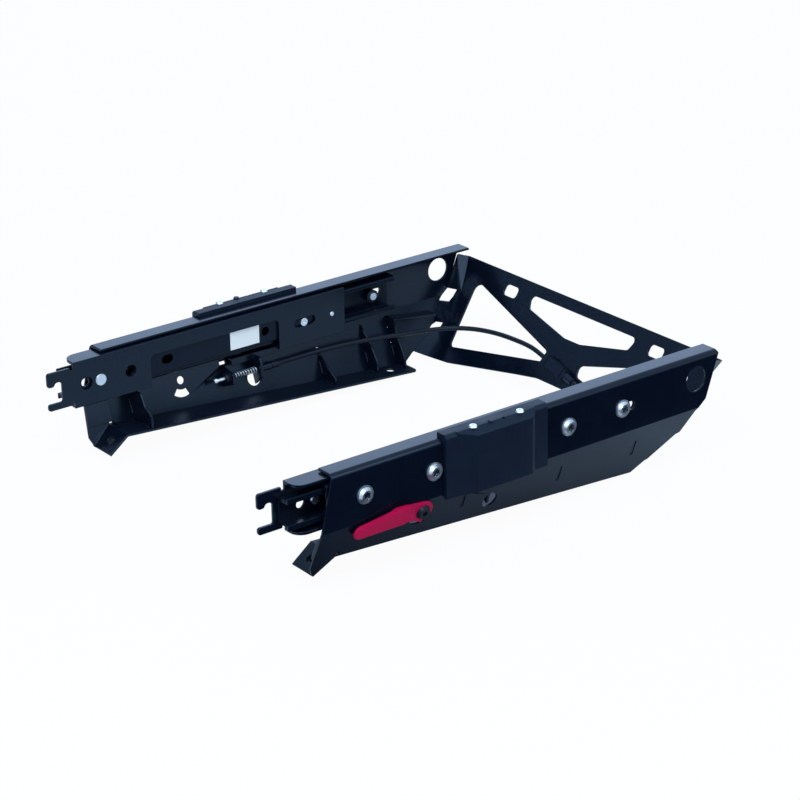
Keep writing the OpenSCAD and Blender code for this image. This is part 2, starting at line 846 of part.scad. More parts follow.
module panel_screws(side) {
    color("#c4cad3") on_side(side)
        for (y = screw_y)
            panel_screw(y);
}

module panel_nuts(side) {
    color("#10151d") on_side(side)
        for (y = screw_y)
            translate([inner_x - rail_t - nut_h, y, rail_z])
                rotate([0, 90, 0])
                    difference() {
                        cylinder(d = nut_af / cos(30), h = nut_h, $fn = 6);
                        translate([0, 0, -1])
                            cylinder(d = screw_d + 2 * pivot_gap, h = nut_h + 2);
                    }
}

// Plastic covers that clip over the panels

cover_mid = 0;
cover_h = 58;
cover_in_x = outer_x - 9.5;
cover_tip_x = outer_x + cover_t + cover_field_t;
cover_top = panel_h + cover_rise;
cover_low = cover_top - cover_h - cover_rise;
field_y = [-27, 37];
field_ramp = [19, 7];
cover_wall = 2.5;

// Plan view of the raised field
function field_plan() = [
    [outer_x + 0.5, field_y[0] - field_ramp[0]],
    [outer_x + cover_t, field_y[0] - field_ramp[0]],
    [cover_tip_x, field_y[0]],
    [cover_tip_x, field_y[1]],
    [outer_x + cover_t, field_y[1] + field_ramp[1]],
    [outer_x + 0.5, field_y[1] + field_ramp[1]]];

// Section of the base layer: a hook over the panel's edge with a rounded outer edge
module cover_base_section() {
    x1 = outer_x + cover_t;
    polygon(concat(
        [[cover_in_x, panel_h], [cover_in_x, cover_top]],
        corner([cover_in_x, cover_top], [x1, cover_top], [x1, cover_low], 4.5, 6),
        [[x1, cover_low], [outer_x, cover_low], [outer_x, panel_h - panel_fold_r]],
        corner([outer_x, cover_low], [outer_x, panel_h], [cover_in_x, panel_h], panel_fold_r)));
}

// Section of the raised field with its sloping shoulder
module field_section() {
    shoulder = cover_field_t + 1;
    x0 = cover_tip_x - shoulder;
    polygon(concat(
        [[outer_x + 0.2, cover_low], [outer_x + 0.2, cover_top - 2], [x0 - 2, cover_top]],
        corner([x0 - 2, cover_top], [x0, cover_top], [cover_tip_x, cover_top - shoulder], 2),
        corner([x0, cover_top], [cover_tip_x, cover_top - shoulder], [cover_tip_x, cover_low], 2),
        [[cover_tip_x, cover_low]]));
}

module cover_body() {
    along_y(cover_mid - cover_l / 2, cover_mid + cover_l / 2)
        cover_base_section();
    intersection() {
        translate([0, 0, cover_low])
            linear_extrude(cover_h + cover_rise)
                polygon(rounded_loop(field_plan(), [0, 0, 2, 2, 0, 0]));
        along_y(cover_mid - cover_l, cover_mid + cover_l)
            field_section();
    }
}

// Hollow behind the raised field, open below
module cover_hollow() {
    x0 = outer_x + cover_t - cover_wall;
    x1 = cover_tip_x - cover_wall;
    translate([0, 0, cover_low - 1])
        linear_extrude(cover_h - cover_screw_l)
            polygon([[x0, field_y[0] - field_ramp[0] + 4], [x1, field_y[0] + 2],
                     [x1, field_y[1] - 2], [x0, field_y[1] + field_ramp[1] - 3]]);
}

cover_screw_x = outer_x + 2.2;
cover_screw_y = 27.1;
cover_screw_d = 3;
cover_screw_l = 14;

module cover(side) {
    color("#11161d") on_side(side) {
        difference() {
            cover_body();
            cover_hollow();
            for (s = [-1, 1])
                translate([cover_screw_x, s * cover_screw_y, cover_top - cover_screw_l])
                    cylinder(d = cover_screw_d, h = cover_screw_l + 1);
            translate([outer_x + 2, 6.3, cover_top - 1.5])
                cube([6, 2.2, 2]);
        }
        translate([outer_x + 2.5, -6.5, cover_top - eps])
            cylinder(d1 = 6.5, d2 = 5, h = 1.4);
    }
}

module cover_screws(side) {
    color("#d3d7dd") on_side(side)
        for (s = [-1, 1])
            translate([cover_screw_x, s * cover_screw_y, cover_top]) {
                difference() {
                    cylinder(d1 = 8.4, d2 = 6.4, h = 1.8);
                    translate([0, 0, 0.6])
                        cylinder(d = 2.6, h = 2, $fn = 6);
                }
                translate([0, 0, -cover_screw_l])
                    cylinder(d = cover_screw_d, h = cover_screw_l + eps);
            }
}

// Release lever on the +X side, drawn in the lean wall's frame at its pivot

lever_swing = 22;
arm_t = 2.5;
arm_gap = 0.4;
arm_r = 11;
grip_near = 14;
grip_drop = [-7, -2.5];
pin_d = 5;
pin_r = 13.2;
pin_deg = lever_swing / 2;
pin_reach = 11;
bolt_head_h = 3.2;

// Grip: rounded bar, thinner towards its free end
module grip_body() {
    tip_w = grip_w * 0.72;
    z0 = arm_gap + arm_t;
    near = [grip_drop[0], -grip_near - grip_w / 2];
    far = [grip_drop[1], -grip_near - grip_l + tip_w / 2];
    hull() {
        translate([near[0], near[1], z0])
            cylinder(d = grip_w, h = grip_t * 0.7, $fn = 32);
        translate([near[0], near[1], z0 + grip_t * 0.7])
            cylinder(d1 = grip_w, d2 = grip_w - 5, h = grip_t * 0.3, $fn = 32);
        translate([far[0], far[1], z0])
            cylinder(d = tip_w, h = grip_t * 0.45, $fn = 32);
        translate([far[0], far[1], z0 + grip_t * 0.45])
            cylinder(d1 = tip_w, d2 = tip_w - 5, h = grip_t * 0.3, $fn = 32);
    }
}

module lever_grip() {
    color("#a8123f") on_side(1)
        on_lean(lever_at)
            grip_body();
}

// Steel arm under the grip, with its bore and the pin that runs in the curved slot
module lever_arm() {
    color("#a8123f") on_side(1)
        on_lean(lever_at) {
            difference() {
                translate([0, 0, arm_gap])
                    linear_extrude(arm_t)
                        hull() {
                            circle(r = arm_r, $fn = 32);
                            translate([grip_drop[0], -grip_near - grip_w * 0.8])
                                circle(r = arm_r * 0.75, $fn = 32);
                        }
                translate([0, 0, -1])
                    cylinder(d = pivot_d + 2 * pivot_gap, h = arm_t + 4);
            }
            rotate([0, 0, pin_deg])
                translate([pin_r, 0, -panel_t - pin_reach])
                    cylinder(d = pin_d, h = panel_t + pin_reach + arm_gap + eps);
        }
}

// Shouldered pivot bolt with a low round head
module lever_pivot_bolt() {
    color("#171b21") on_side(1)
        on_lean(lever_at)
            difference() {
                union() {
                    translate([0, 0, arm_gap + arm_t + pivot_gap])
                        cylinder(d1 = 15, d2 = 12, h = bolt_head_h);
                    translate([0, 0, -panel_t - 8])
                        cylinder(d = pivot_d, h = panel_t + 8 + arm_gap + arm_t + 1);
                }
                translate([0, 0, arm_gap + arm_t + bolt_head_h - 2])
                    cylinder(d = 5.8, h = 4, $fn = 6);
            }
}

module lever_pivot_nut() {
    color("#171b21") on_side(1)
        on_lean(lever_at)
            translate([0, 0, -panel_t - nut_h])
                difference() {
                    cylinder(d = nut_af / cos(30), h = nut_h, $fn = 6);
                    translate([0, 0, -1])
                        cylinder(d = pivot_d, h = nut_h + 2);
                }
}

// Latch plate: guide for the release rod, tabbed into the lean wall
module latch_plate(side) {
    reach = rod_x - 8;
    color("#0c1016") on_side(side) {
        difference() {
            along_y(latch_y - gusset_t / 2, latch_y + gusset_t / 2)
                polygon(rounded_loop(
                    [[lean_in_x(rod_z + 9), rod_z + 9], [reach, rod_z + 5], [reach, rod_z - 6],
                     [lean_in_x(rod_z - 12), rod_z - 12]],
                    [0, 3, 3, 0]));
            translate([rod_x, latch_y - 10, rod_z])
                rotate([-90, 0, 0])
                    cylinder(d = rod_hole_d, h = 20);
        }
        on_lean([latch_y, latch_slit_z])
            translate([-slit_l / 2 + slot_gap, -gusset_t / 2, -panel_t - 1])
                cube([slit_l - 2 * slot_gap, gusset_t, panel_t + 0.4]);
    }
}

// Cable stop: plate that holds the end of the sheath, with a channel along the wall over the lock
stop_t = 3;
ferrule_d = 8;
lock_bar_y = [-26, 28];
module cable_stop(side) {
    reach = rod_x - 8;
    bar_x = inner_x - 11;
    bar_top = bracket_low - pass_gap;
    color("#0c1016") on_side(side)
        difference() {
            union() {
                along_y(stop_y - stop_t / 2, stop_y + stop_t / 2)
                    polygon(rounded_loop(
                        [[lean_in_x(fold_z - 0.6), fold_z - 0.6], [reach + 3, fold_z - 0.6], [reach, rod_z + 6],
                         [reach, rod_z - 7], [lean_in_x(rod_z - 17.7), rod_z - 17.7]],
                        [0, 3, 3, 3, 0]));
                along_y(lock_bar_y[0], lock_bar_y[1])
                    polygon([[bar_x, fold_z - 5.5], [bar_x + 2, fold_z - 5.5], [bar_x + 2, bar_top - 2],
                             [inner_x - 0.7, bar_top - 2], [inner_x - 0.7, bar_top], [bar_x, bar_top]]);
                translate([rod_x, stop_y + stop_t / 2 - eps, rod_z])
                    rotate([-90, 0, 0])
                        cylinder(d = ferrule_d, h = route_points[0][1] - stop_y - stop_t / 2 - 0.5);
            }
            translate([rod_x, stop_y - 10, rod_z])
                rotate([-90, 0, 0])
                    cylinder(d = rod_hole_d, h = 30);
        }
}

// Release rods: the lever draws the left one forward, the cable then draws the right one back
rod_front = -52;
rod_head_d = 7;
rod_head_h = 3;
rod_end = stop_y + 4;
rod_collar_y = latch_y + gusset_t / 2 + 0.4;
rod_collar_h = 2.5;

// Round bar along Y on the rod's axis
module rod_bar(y0, y1, d0, d1) {
    translate([rod_x, y0, rod_z])
        rotate([-90, 0, 0])
            cylinder(d1 = d0, d2 = d1, h = y1 - y0);
}

// Eye plate with a slot round the lever's pin
eye_t = 3;
eye_x = [5.5, 20.5];
eye_y = [-4, 9];
module rod_eye() {
    pin_at = pin_r * [cos(pin_deg), sin(pin_deg)];
    slot_w = pin_d + 2 * slot_gap;
    on_lean(lever_at)
        translate([0, 0, -panel_t - pin_reach])
            linear_extrude(eye_t)
                difference() {
                    translate([eye_x[0], eye_y[0]])
                        square([eye_x[1] - eye_x[0], eye_y[1] - eye_y[0]]);
                    translate(pin_at - [slot_w / 2 + 1, slot_w / 2])
                        square([slot_w + 2, slot_w]);
                }
}

module release_rod_left() {
    color("#c3c8d0") on_side(1) {
        rod_bar(lever_at[0] + 6, rod_end, rod_d, rod_d);
        rod_eye();
    }
}

module release_rod_right() {
    color("#c3c8d0") on_side(-1) {
        rod_bar(rod_front, rod_end, rod_d, rod_d);
        rod_bar(rod_front, rod_front + rod_head_h, rod_d + 1, rod_head_d);
        rod_bar(rod_collar_y, rod_collar_y + rod_collar_h, spring_d, spring_d);
    }
}

// Return spring: a helix of wire round the rod
spring_turns = 9;
module return_spring() {
    y0 = rod_collar_y + rod_collar_h + spring_wire_d / 2 + 0.05;
    y1 = stop_y - stop_t / 2 - spring_wire_d / 2 - 0.05;
    steps = 12 * spring_turns;
    sides = 6;
    r = (spring_d - spring_wire_d) / 2;
    wire = spring_wire_d / 2;
    pts = [for (i = [0:steps], j = [0:sides - 1])
        let (a = 360 * i / 12, b = 360 * j / sides, q = r + wire * cos(b))
        [rod_x + q * cos(a), y0 + (y1 - y0) * i / steps + wire * sin(b), rod_z + q * sin(a)]];
    walls = [for (i = [0:steps - 1], j = [0:sides - 1])
        let (k = (j + 1) % sides)
        [i * sides + j, i * sides + k, (i + 1) * sides + k, (i + 1) * sides + j]];
    ends = [[for (j = [sides - 1:-1:0]) j], [for (j = [0:sides - 1]) steps * sides + j]];
    color("#d0d4da") on_side(-1)
        polyhedron(pts, concat(walls, ends));
}

// Release cable between the two cable stops, clipped to the cross brace

// Points of the route: x, station and height, as drawn for ends at route_x and route_z
route_x = 182;
route_z = 43.7;
route_points = [
    [-182, 18, 43.7], [-182, 36, 44], [-180, 60, 45], [-176, 88, 46.5], [-171, 116, 47], [-167, 144, 46],
    [-161, 172, 45], [-152, 198, 45.5], [-138, 218, 47], [-118, 232, 48.5], [-94, 241, 49], [-68, 245.5, 48.5],
    [-44, 247.5, 47], [-22, 246, 43.5], [0, 243.2, 39.3], [22, 240.4, 35], [34, 238.9, 32.7],
    [50, 235, 28.8], [70, 229.5, 25.5], [94, 223, 23.5],
    [120, 213, 23], [141, 198, 24.5], [154, 178, 27.5], [162, 154, 31], [168, 128, 34], [173, 100, 37],
    [177, 74, 40], [180, 50, 42.3], [182, 32, 43.5], [182, 18, 43.7]];
cable_route = [for (p = route_points) [p[0] * rod_x / route_x, p[1], p[2] + rod_z - route_z]];

// Tube round a route, with rings square to it
function ring_axis(p, i) = unit(p[min(i + 1, len(p) - 1)] - p[max(i - 1, 0)]);
function ring(p, i, r, sides) =
    let (d = ring_axis(p, i), u = unit(cross(d, [0, 0, 1])), w = cross(u, d))
    [for (j = [0:sides - 1]) p[i] + r * (u * cos(360 * j / sides) + w * sin(360 * j / sides))];

module tube(p, d, sides = 8) {
    n = len(p);
    pts = [for (i = [0:n - 1]) each ring(p, i, d / 2, sides)];
    walls = [for (i = [0:n - 2], j = [0:sides - 1])
        let (k = (j + 1) % sides)
        [i * sides + j, (i + 1) * sides + j, (i + 1) * sides + k, i * sides + k]];
    ends = [[for (j = [0:sides - 1]) j], [for (j = [sides - 1:-1:0]) (n - 1) * sides + j]];
    polyhedron(pts, concat(walls, ends));
}

module cable() {
    color("#1a1e24") translate([0, shift_y, 0])
        tube(cable_route, cable_d);
}

// Joint housing where the two halves of the cable meet, flat on the brace
joint_l = 38;
joint_w = 11;
joint_d = 9;
joint_axis_y = -5;
joint_turn = 13.05;
joint_up = (cable_route[14][2] - brace_ref_z + joint_axis_y * sin(brace_lean)) / cos(brace_lean);
module at_joint() {
    translate([0, shift_y, 0])
        on_brace()
            translate([0, 0, joint_up])
                rotate([0, joint_turn, 0])
                    children();
}

module cable_joint() {
    boot_l = 13;
    color("#14181e") at_joint()
        difference() {
            union() {
                translate([-joint_l / 2, -joint_d, -joint_w / 2])
                    cube([joint_l, joint_d, joint_w]);
                for (s = [-1, 1])
                    translate([s * joint_l * 0.36 - 1.5, -joint_d - 0.8, -joint_w / 2 - 0.8])
                        cube([3, joint_d + 0.8, joint_w + 1.6]);
                translate([joint_l / 2, joint_axis_y, 0])
                    rotate([0, 90, 0])
                        cylinder(d1 = cable_d + 3.5, d2 = cable_d + 2, h = boot_l);
            }
            translate([-joint_l, joint_axis_y, 0])
                rotate([0, 90, 0])
                    cylinder(d = cable_d + 0.9, h = 2 * joint_l);
        }
}

side_panel(1);  // side_panel_left
side_panel(-1);  // side_panel_right
front_gusset(1);  // front_gusset_left
front_gusset(-1);  // front_gusset_right
mid_gusset(1);  // mid_gusset_left
mid_gusset(-1);  // mid_gusset_right
rear_gussets(1);  // rear_gussets_left
rear_gussets(-1);  // rear_gussets_right
cross_brace();
fixed_rail(1);  // fixed_rail_left
fixed_rail(-1);  // fixed_rail_right
sliding_rail(1);  // sliding_rail_left
sliding_rail(-1);  // sliding_rail_right
ball_cage(1);  // ball_cage_left
ball_cage(-1);  // ball_cage_right
balls(1);  // balls_left
balls(-1);  // balls_right
hook_bracket(1);  // hook_bracket_left
hook_bracket(-1);  // hook_bracket_right
bracket_rivets(1);  // bracket_rivets_left
bracket_rivets(-1);  // bracket_rivets_right
slot_screw(1);  // slot_screw_left
slot_screw(-1);  // slot_screw_right
rail_label();
panel_screws(1);  // panel_screws_left
panel_screws(-1);  // panel_screws_right
panel_nuts(1);  // panel_nuts_left
panel_nuts(-1);  // panel_nuts_right
cover(1);  // cover_left
cover(-1);  // cover_right
cover_screws(1);  // cover_screws_left
cover_screws(-1);  // cover_screws_right
lever_grip();
lever_arm();
lever_pivot_bolt();
lever_pivot_nut();
latch_plate(1);  // latch_plate_left
latch_plate(-1);  // latch_plate_right
cable_stop(1);  // cable_stop_left
cable_stop(-1);  // cable_stop_right
release_rod_left();
release_rod_right();
return_spring();
cable();
cable_joint();
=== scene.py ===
"""Looks of a seat slide rail assembly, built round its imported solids."""
import json
import math

import bmesh
import bpy
from mathutils import Matrix, Vector


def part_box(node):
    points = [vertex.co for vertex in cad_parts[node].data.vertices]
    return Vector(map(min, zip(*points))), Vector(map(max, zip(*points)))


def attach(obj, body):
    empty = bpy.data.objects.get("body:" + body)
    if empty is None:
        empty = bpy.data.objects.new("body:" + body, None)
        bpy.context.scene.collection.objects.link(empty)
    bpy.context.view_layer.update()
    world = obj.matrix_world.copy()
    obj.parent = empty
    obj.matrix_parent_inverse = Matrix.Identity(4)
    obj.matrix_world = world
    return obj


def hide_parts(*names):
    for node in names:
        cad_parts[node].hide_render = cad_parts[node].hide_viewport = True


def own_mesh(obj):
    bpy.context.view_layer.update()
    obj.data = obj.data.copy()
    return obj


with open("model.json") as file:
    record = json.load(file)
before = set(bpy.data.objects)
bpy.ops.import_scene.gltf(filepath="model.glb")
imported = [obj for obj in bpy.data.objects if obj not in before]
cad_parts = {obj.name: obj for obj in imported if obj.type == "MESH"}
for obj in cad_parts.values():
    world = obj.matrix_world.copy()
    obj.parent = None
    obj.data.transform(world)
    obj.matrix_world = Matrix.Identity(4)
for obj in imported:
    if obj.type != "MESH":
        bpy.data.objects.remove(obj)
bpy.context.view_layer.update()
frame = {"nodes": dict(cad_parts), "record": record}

bl_info = {
    "name": "Seat slide rail",
    "version": (1, 0, 0),
    "blender": (4, 5, 0),
    "location": "View3D > Sidebar > Seat rail",
    "description": "Dresses the packed seat slide rail and sets its stage",
    "category": "Object",
}

MM = 0.001
SIDES = ("left", "right")
BODY_OF = {node: body for body, nodes in frame["record"]["behaviour"]["bodies"].items()
           for node in nodes}
SLOT_OF = {subpart["node"]: subpart["material_slot"] for subpart in frame["record"]["subparts"]}


def both(*names):
    """The left and right node of each name."""
    return [f"{name}_{side}" for name in names for side in SIDES]


def linear(hex_colour):
    """sRGB hex colour as linear red, green, blue and alpha."""
    parts = [int(hex_colour[i:i + 2], 16) / 255 for i in (1, 3, 5)]
    return tuple(c / 12.92 if c <= 0.04045 else ((c + 0.055) / 1.055) ** 2.4
                 for c in parts) + (1.0,)


WHITE = linear("#ffffff")


# Materials

# Tint of the coat's and the plastic's shine, in linear values
COOL = (0.62, 0.80, 1.0, 1.0)
# Noise of the large patches and of the fine grain, and the part of the patches' range that is used
PATCH_NOISE = {"Detail": 3.0, "Roughness": 0.6}
GRAIN_NOISE = {"Detail": 2.0, "Roughness": 0.5}
PATCH_RANGE = {"From Min": 0.3, "From Max": 0.7}
# Height of the grain's relief at full strength
RELIEF = 0.05 * MM


def add_node(tree, kind, inputs=None, **settings):
    """Adds a node with its settings, and links or sets its inputs."""
    new = tree.nodes.new(kind)
    for key, value in settings.items():
        setattr(new, key, value)
    for key, value in (inputs or {}).items():
        if isinstance(value, bpy.types.NodeSocket):
            tree.links.new(value, new.inputs[key])
        else:
            new.inputs[key].default_value = value
    return new


def per_metre(size_mm):
    """Noise scale that gives features of about size_mm."""
    return 1 / (size_mm * MM)


def start_material(name):
    """An empty material with its tree and its output."""
    material = bpy.data.materials.new(name)
    material.use_nodes = True
    tree = material.node_tree
    tree.nodes.clear()
    return material, tree, add_node(tree, "ShaderNodeOutputMaterial")


def object_coords(tree):
    """The object coordinates, as a socket."""
    return add_node(tree, "ShaderNodeTexCoord").outputs["Object"]


def mixed_colour(tree, share, first, second):
    """A colour that goes from the first to the second with share, as a socket."""
    mix = add_node(tree, "ShaderNodeMix", {"Factor": share, "A": first, "B": second},
                   data_type="RGBA")
    return mix.outputs["Result"]


def surface(name, dark, light, rough, grain_mm, bump, patch_mm=40.0, **sockets):
    """A surface whose colour drifts from dark to light in patches, with grained relief and a
    roughness that drifts with the colour."""
    material, tree, output = start_material(name)
    coords = object_coords(tree)
    patches = add_node(tree, "ShaderNodeTexNoise",
                       {"Vector": coords, "Scale": per_metre(patch_mm), **PATCH_NOISE})
    grain = add_node(tree, "ShaderNodeTexNoise",
                     {"Vector": coords, "Scale": per_metre(grain_mm), **GRAIN_NOISE})
    roughness = add_node(tree, "ShaderNodeMapRange",
                         {"Value": patches.outputs["Fac"], **PATCH_RANGE,
                          "To Min": rough[0], "To Max": rough[1]})
    relief = add_node(tree, "ShaderNodeBump",
                      {"Height": grain.outputs["Fac"], "Strength": bump, "Distance": RELIEF})
    shader = add_node(tree, "ShaderNodeBsdfPrincipled",
                      {"Base Color": mixed_colour(tree, patches.outputs["Fac"], dark, light),
                       "Roughness": roughness.outputs["Result"],
                       "Normal": relief.outputs["Normal"], **sockets})
    tree.links.new(shader.outputs["BSDF"], output.inputs["Surface"])
    return material


def shine(level, tint=WHITE):
    """Inputs for the strength and the tint of a surface's shine."""
    return {"Specular IOR Level": level, "Specular Tint": tint}


def make_materials():
    """All finishes of the part by name."""
    look = bpy.context.scene.seat_rail_finishes
    made = {}
    # Cathodic dip coat on pressed steel: a thin satin film with a faint orange peel
    made["black_coated_steel"] = surface(
        "electrocoated_pressed_steel", look.coat_dark, look.coat_light,
        rough=(0.17, 0.24), grain_mm=2.4, bump=0.05, **shine(0.36, COOL))
    # The same coat where it pools and drains off: duller, because the film dries in a thin haze
    made["drained_coat"] = surface(
        "electrocoat_drained_matt", look.coat_dark, look.coat_light,
        rough=(0.42, 0.52), grain_mm=2.4, bump=0.05, **shine(0.30, COOL))
    # Rolled rail steel under the same dip coat: less relief, because the strip is cold rolled
    made["rail_steel"] = surface(
        "electrocoated_rolled_rail", look.coat_dark, look.coat_light,
        rough=(0.20, 0.28), grain_mm=3.0, bump=0.03, **shine(0.20, COOL))
    # Bright zinc plate: pale metal with a slightly cloudy passivation
    made["zinc_plated_steel"] = surface(
        "bright_zinc_plate", look.zinc_dark, look.zinc_light,
        rough=(0.28, 0.42), grain_mm=1.0, bump=0.08, patch_mm=6.0, Metallic=1.0)
    # Painted shade in a driver recess: zinc drawn dull and dark grey, standing in for the shade
    # that falls in the hollow
    made["recess_painted_shade"] = surface(
        "thin_zinc_in_recess", linear("#39424c"), linear("#59636e"),
        rough=(0.36, 0.48), grain_mm=1.0, bump=0.08, patch_mm=6.0, Metallic=1.0)
    # Ground bearing steel: nearly a mirror
    made["bearing_steel"] = surface(
        "ground_bearing_steel", linear("#b9bdc4"), linear("#c9cdd3"),
        rough=(0.08, 0.14), grain_mm=0.8, bump=0.02, patch_mm=3.0, Metallic=1.0)
    # Spark-eroded moulding grain, drawn coarser than the real 0.3 mm so that it shows
    made["black_plastic"] = surface(
        "grained_black_polyamide", look.plastic_dark, look.plastic_light,
        rough=(0.42, 0.54), grain_mm=0.9, bump=0.30, **shine(0.30, COOL))
    # Extruded cable sheath: smooth and slightly waxy
    made["black_sheath"] = surface(
        "extruded_cable_sheath", linear("#0b111b"), linear("#121a28"),
        rough=(0.34, 0.44), grain_mm=1.6, bump=0.10, **shine(0.20))
    # Black oxide on machined steel: dark, with a soft shine
    made["black_oxide_steel"] = surface(
        "black_oxide_steel", linear("#0b1019"), linear("#151c28"),
        rough=(0.30, 0.42), grain_mm=1.0, bump=0.10, patch_mm=8.0, **shine(0.25))
    # Dipped soft coating on the lever: crimson with a fine matt skin
    made["red_coated_steel"] = surface(
        "crimson_dip_coat", look.lever_dark, look.lever_light,
        rough=(0.36, 0.46), grain_mm=1.4, bump=0.16, **shine(0.06))
    # Metallised label film, unprinted
    made["silver_film"] = surface(
        "metallised_label_film", linear("#f8f1e8"), linear("#fffaf2"),
        rough=(0.30, 0.40), grain_mm=2.0, bump=0.06)
    return made


MATERIALS = {}


def finish_of(node):
    """The finish of a node: its slot's, or that of rolled strip on the rails."""
    rolled = node.startswith(("sliding_rail", "fixed_rail"))
    return MATERIALS["rail_steel" if rolled else SLOT_OF[node]]


# Mesh helpers

# Cleaning of a solid's mesh: distance of doubles, size of degenerate faces, angle of one plane
MERGE = 0.03 * MM
DEGENERATE = 0.02 * MM
ONE_PLANE = math.radians(0.4)
# An edge sharper than this is eased, unless a face beside it is narrower than a sliver
CORNER = math.radians(40)
SLIVER = 0.05 * MM
# A face wider than this is a flat of the sheet and not a facet of a bend
FLAT_WIDTH = 8 * MM
# How much the larger faces rule the normals
AREA_WEIGHT = 90
# Angles under which edges are shaded smooth
SMOOTH = math.radians(50)
BEAD_SMOOTH = math.radians(60)
TURNED_SMOOTH = math.radians(35)
TURNED_SIDES = 40
# Weld beads: step and least number of steps, thickness at an end and its growth per step, and
# share of the ripple
BEAD_STEP = 0.5 * MM
BEAD_LEAST = 6
BEAD_END = 0.45
BEAD_GROWTH = 0.25
BEAD_RIPPLE = 0.14


def deselect():
    """Leaves nothing selected, in object mode."""
    if bpy.context.object and bpy.context.object.mode != "OBJECT":
        bpy.ops.object.mode_set(mode="OBJECT")
    bpy.ops.object.select_all(action="DESELECT")


def make_active(obj):
    """Selects one object and makes it the active one."""
    deselect()
    bpy.context.view_layer.objects.active = obj
    obj.select_set(True)


def set_material(obj, material):
    """Gives an object one material all over."""
    obj.data.materials.clear()
    obj.data.materials.append(material)


def apply_modifier(obj, kind, **settings):
    """Adds a modifier and applies it."""
    modifier = obj.modifiers.new(kind.title(), kind)
    for key, value in settings.items():
        setattr(modifier, key, value)
    make_active(obj)
    bpy.ops.object.modifier_apply(modifier=modifier.name)


def belong(piece, node):
    """Gives a piece the finish and the body of a node."""
    set_material(piece, finish_of(node))
    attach(piece, BODY_OF[node])


def is_sliver(face):
    """Whether a face is too narrow to ease an edge of it."""
    return 2 * face.calc_area() <= SLIVER * max(edge.calc_length() for edge in face.edges)


def mark_corners(piece):
    """Gives a bevel weight to the sharp edges, apart from those of slivers."""
    mesh = bmesh.new()
    mesh.from_mesh(piece.data)
    weight = mesh.edges.layers.float.new("bevel_weight_edge")
    for edge in mesh.edges:
        sharp = len(edge.link_faces) == 2 and edge.calc_face_angle() > CORNER
        if sharp and not any(is_sliver(face) for face in edge.link_faces):
            edge[weight] = 1.0
    mesh.to_mesh(piece.data)
    mesh.free()


def flatten_flats(mesh):
    """Gives each wide face the normal of its plane at all its corners, so that the folds between
    such faces stay crisp."""
    normals = [corner.vector.copy() for corner in mesh.corner_normals]
    for face in mesh.polygons:
        points = [mesh.vertices[i].co for i in face.vertices]
        longest = max((a - b).length for a, b in zip(points, points[1:] + points[:1]))
        if face.area > FLAT_WIDTH * longest:
            for i in face.loop_indices:
                normals[i] = face.normal.copy()
    mesh.normals_split_custom_set(normals)


def eased(node, width, segments=2, clamp=False, flats=True):
    """A cleaned copy of a solid with its sharp edges eased, in the solid's place. Its wide faces
    are shaded flat, unless flats says that they are the facets of a twisted sheet."""
    piece = bpy.data.objects.new(node + "_eased", frame["nodes"][node].data.copy())
    bpy.context.scene.collection.objects.link(piece)
    make_active(piece)
    if piece.data.has_custom_normals:
        bpy.ops.mesh.customdata_custom_splitnormals_clear()
    bpy.ops.object.mode_set(mode="EDIT")
    bpy.ops.mesh.select_all(action="SELECT")
    bpy.ops.mesh.remove_doubles(threshold=MERGE)
    bpy.ops.mesh.dissolve_degenerate(threshold=DEGENERATE)
    bpy.ops.mesh.dissolve_limited(angle_limit=ONE_PLANE)
    bpy.ops.object.mode_set(mode="OBJECT")
    mark_corners(piece)
    apply_modifier(piece, "BEVEL", width=width, segments=segments, limit_method="WEIGHT",
                   use_clamp_overlap=clamp, miter_outer="MITER_SHARP")
    low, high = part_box(node)
    for vertex in piece.data.vertices:
        vertex.co = [min(max(c, a), b) for c, a, b in zip(vertex.co, low, high)]
    make_active(piece)
    bpy.ops.object.shade_smooth_by_angle(angle=SMOOTH)
    apply_modifier(piece, "WEIGHTED_NORMAL", mode="FACE_AREA", weight=AREA_WEIGHT, keep_sharp=True)
    if flats:
        flatten_flats(piece.data)
    belong(piece, node)
    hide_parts(node)
    return piece


def refinish(piece, finish, chosen, *facts):
    """Gives a second finish to the faces that chosen says yes to, by the facts it needs."""
    piece.data.materials.append(MATERIALS[finish])
    for face in piece.data.polygons:
        if chosen(face, *facts):
            face.material_index = len(piece.data.materials) - 1


def keep_solid(node):
    """Leaves a solid as it is and gives it its finish."""
    set_material(frame["nodes"][node], finish_of(node))


def drawn(name, lines, radius, ring, smooth, node):
    """Round strokes as one mesh in the finish of a node. A line lists places and thicknesses."""
    curve = bpy.data.curves.new(name, "CURVE")
    curve.dimensions = "3D"
    curve.bevel_depth = radius
    curve.bevel_resolution = ring
    curve.use_fill_caps = True
    for line in lines:
        spline = curve.splines.new("POLY")
        spline.points.add(len(line) - 1)
        for point, (place, thickness) in zip(spline.points, line):
            point.co = (*place, 1.0)
            point.radius = thickness
    piece = bpy.data.objects.new(name, curve)
    bpy.context.scene.collection.objects.link(piece)
    make_active(piece)
    bpy.ops.object.convert(target="MESH")
    piece = bpy.context.object
    bpy.ops.object.shade_smooth_by_angle(angle=smooth)
    belong(piece, node)
    return piece


def stroke(name, points, radius, node, ring=4):
    """A round wire or cord along points, in the place of a solid."""
    piece = drawn(name, [[(point, 1.0) for point in points]], radius, ring, SMOOTH, node)
    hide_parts(node)
    return piece


def bead_line(start, end):
    """Places and thicknesses of a rippled weld bead that tapers at both ends."""
    count = max(BEAD_LEAST, round((end - start).length / BEAD_STEP))
    line = []
    for i in range(count + 1):
        taper = min(1.0, BEAD_END + BEAD_GROWTH * min(i, count - i))
        ripple = 1.0 - BEAD_RIPPLE + BEAD_RIPPLE * math.cos(i * math.pi / 2)
        line.append((start.lerp(end, i / count), taper * ripple))
    return line


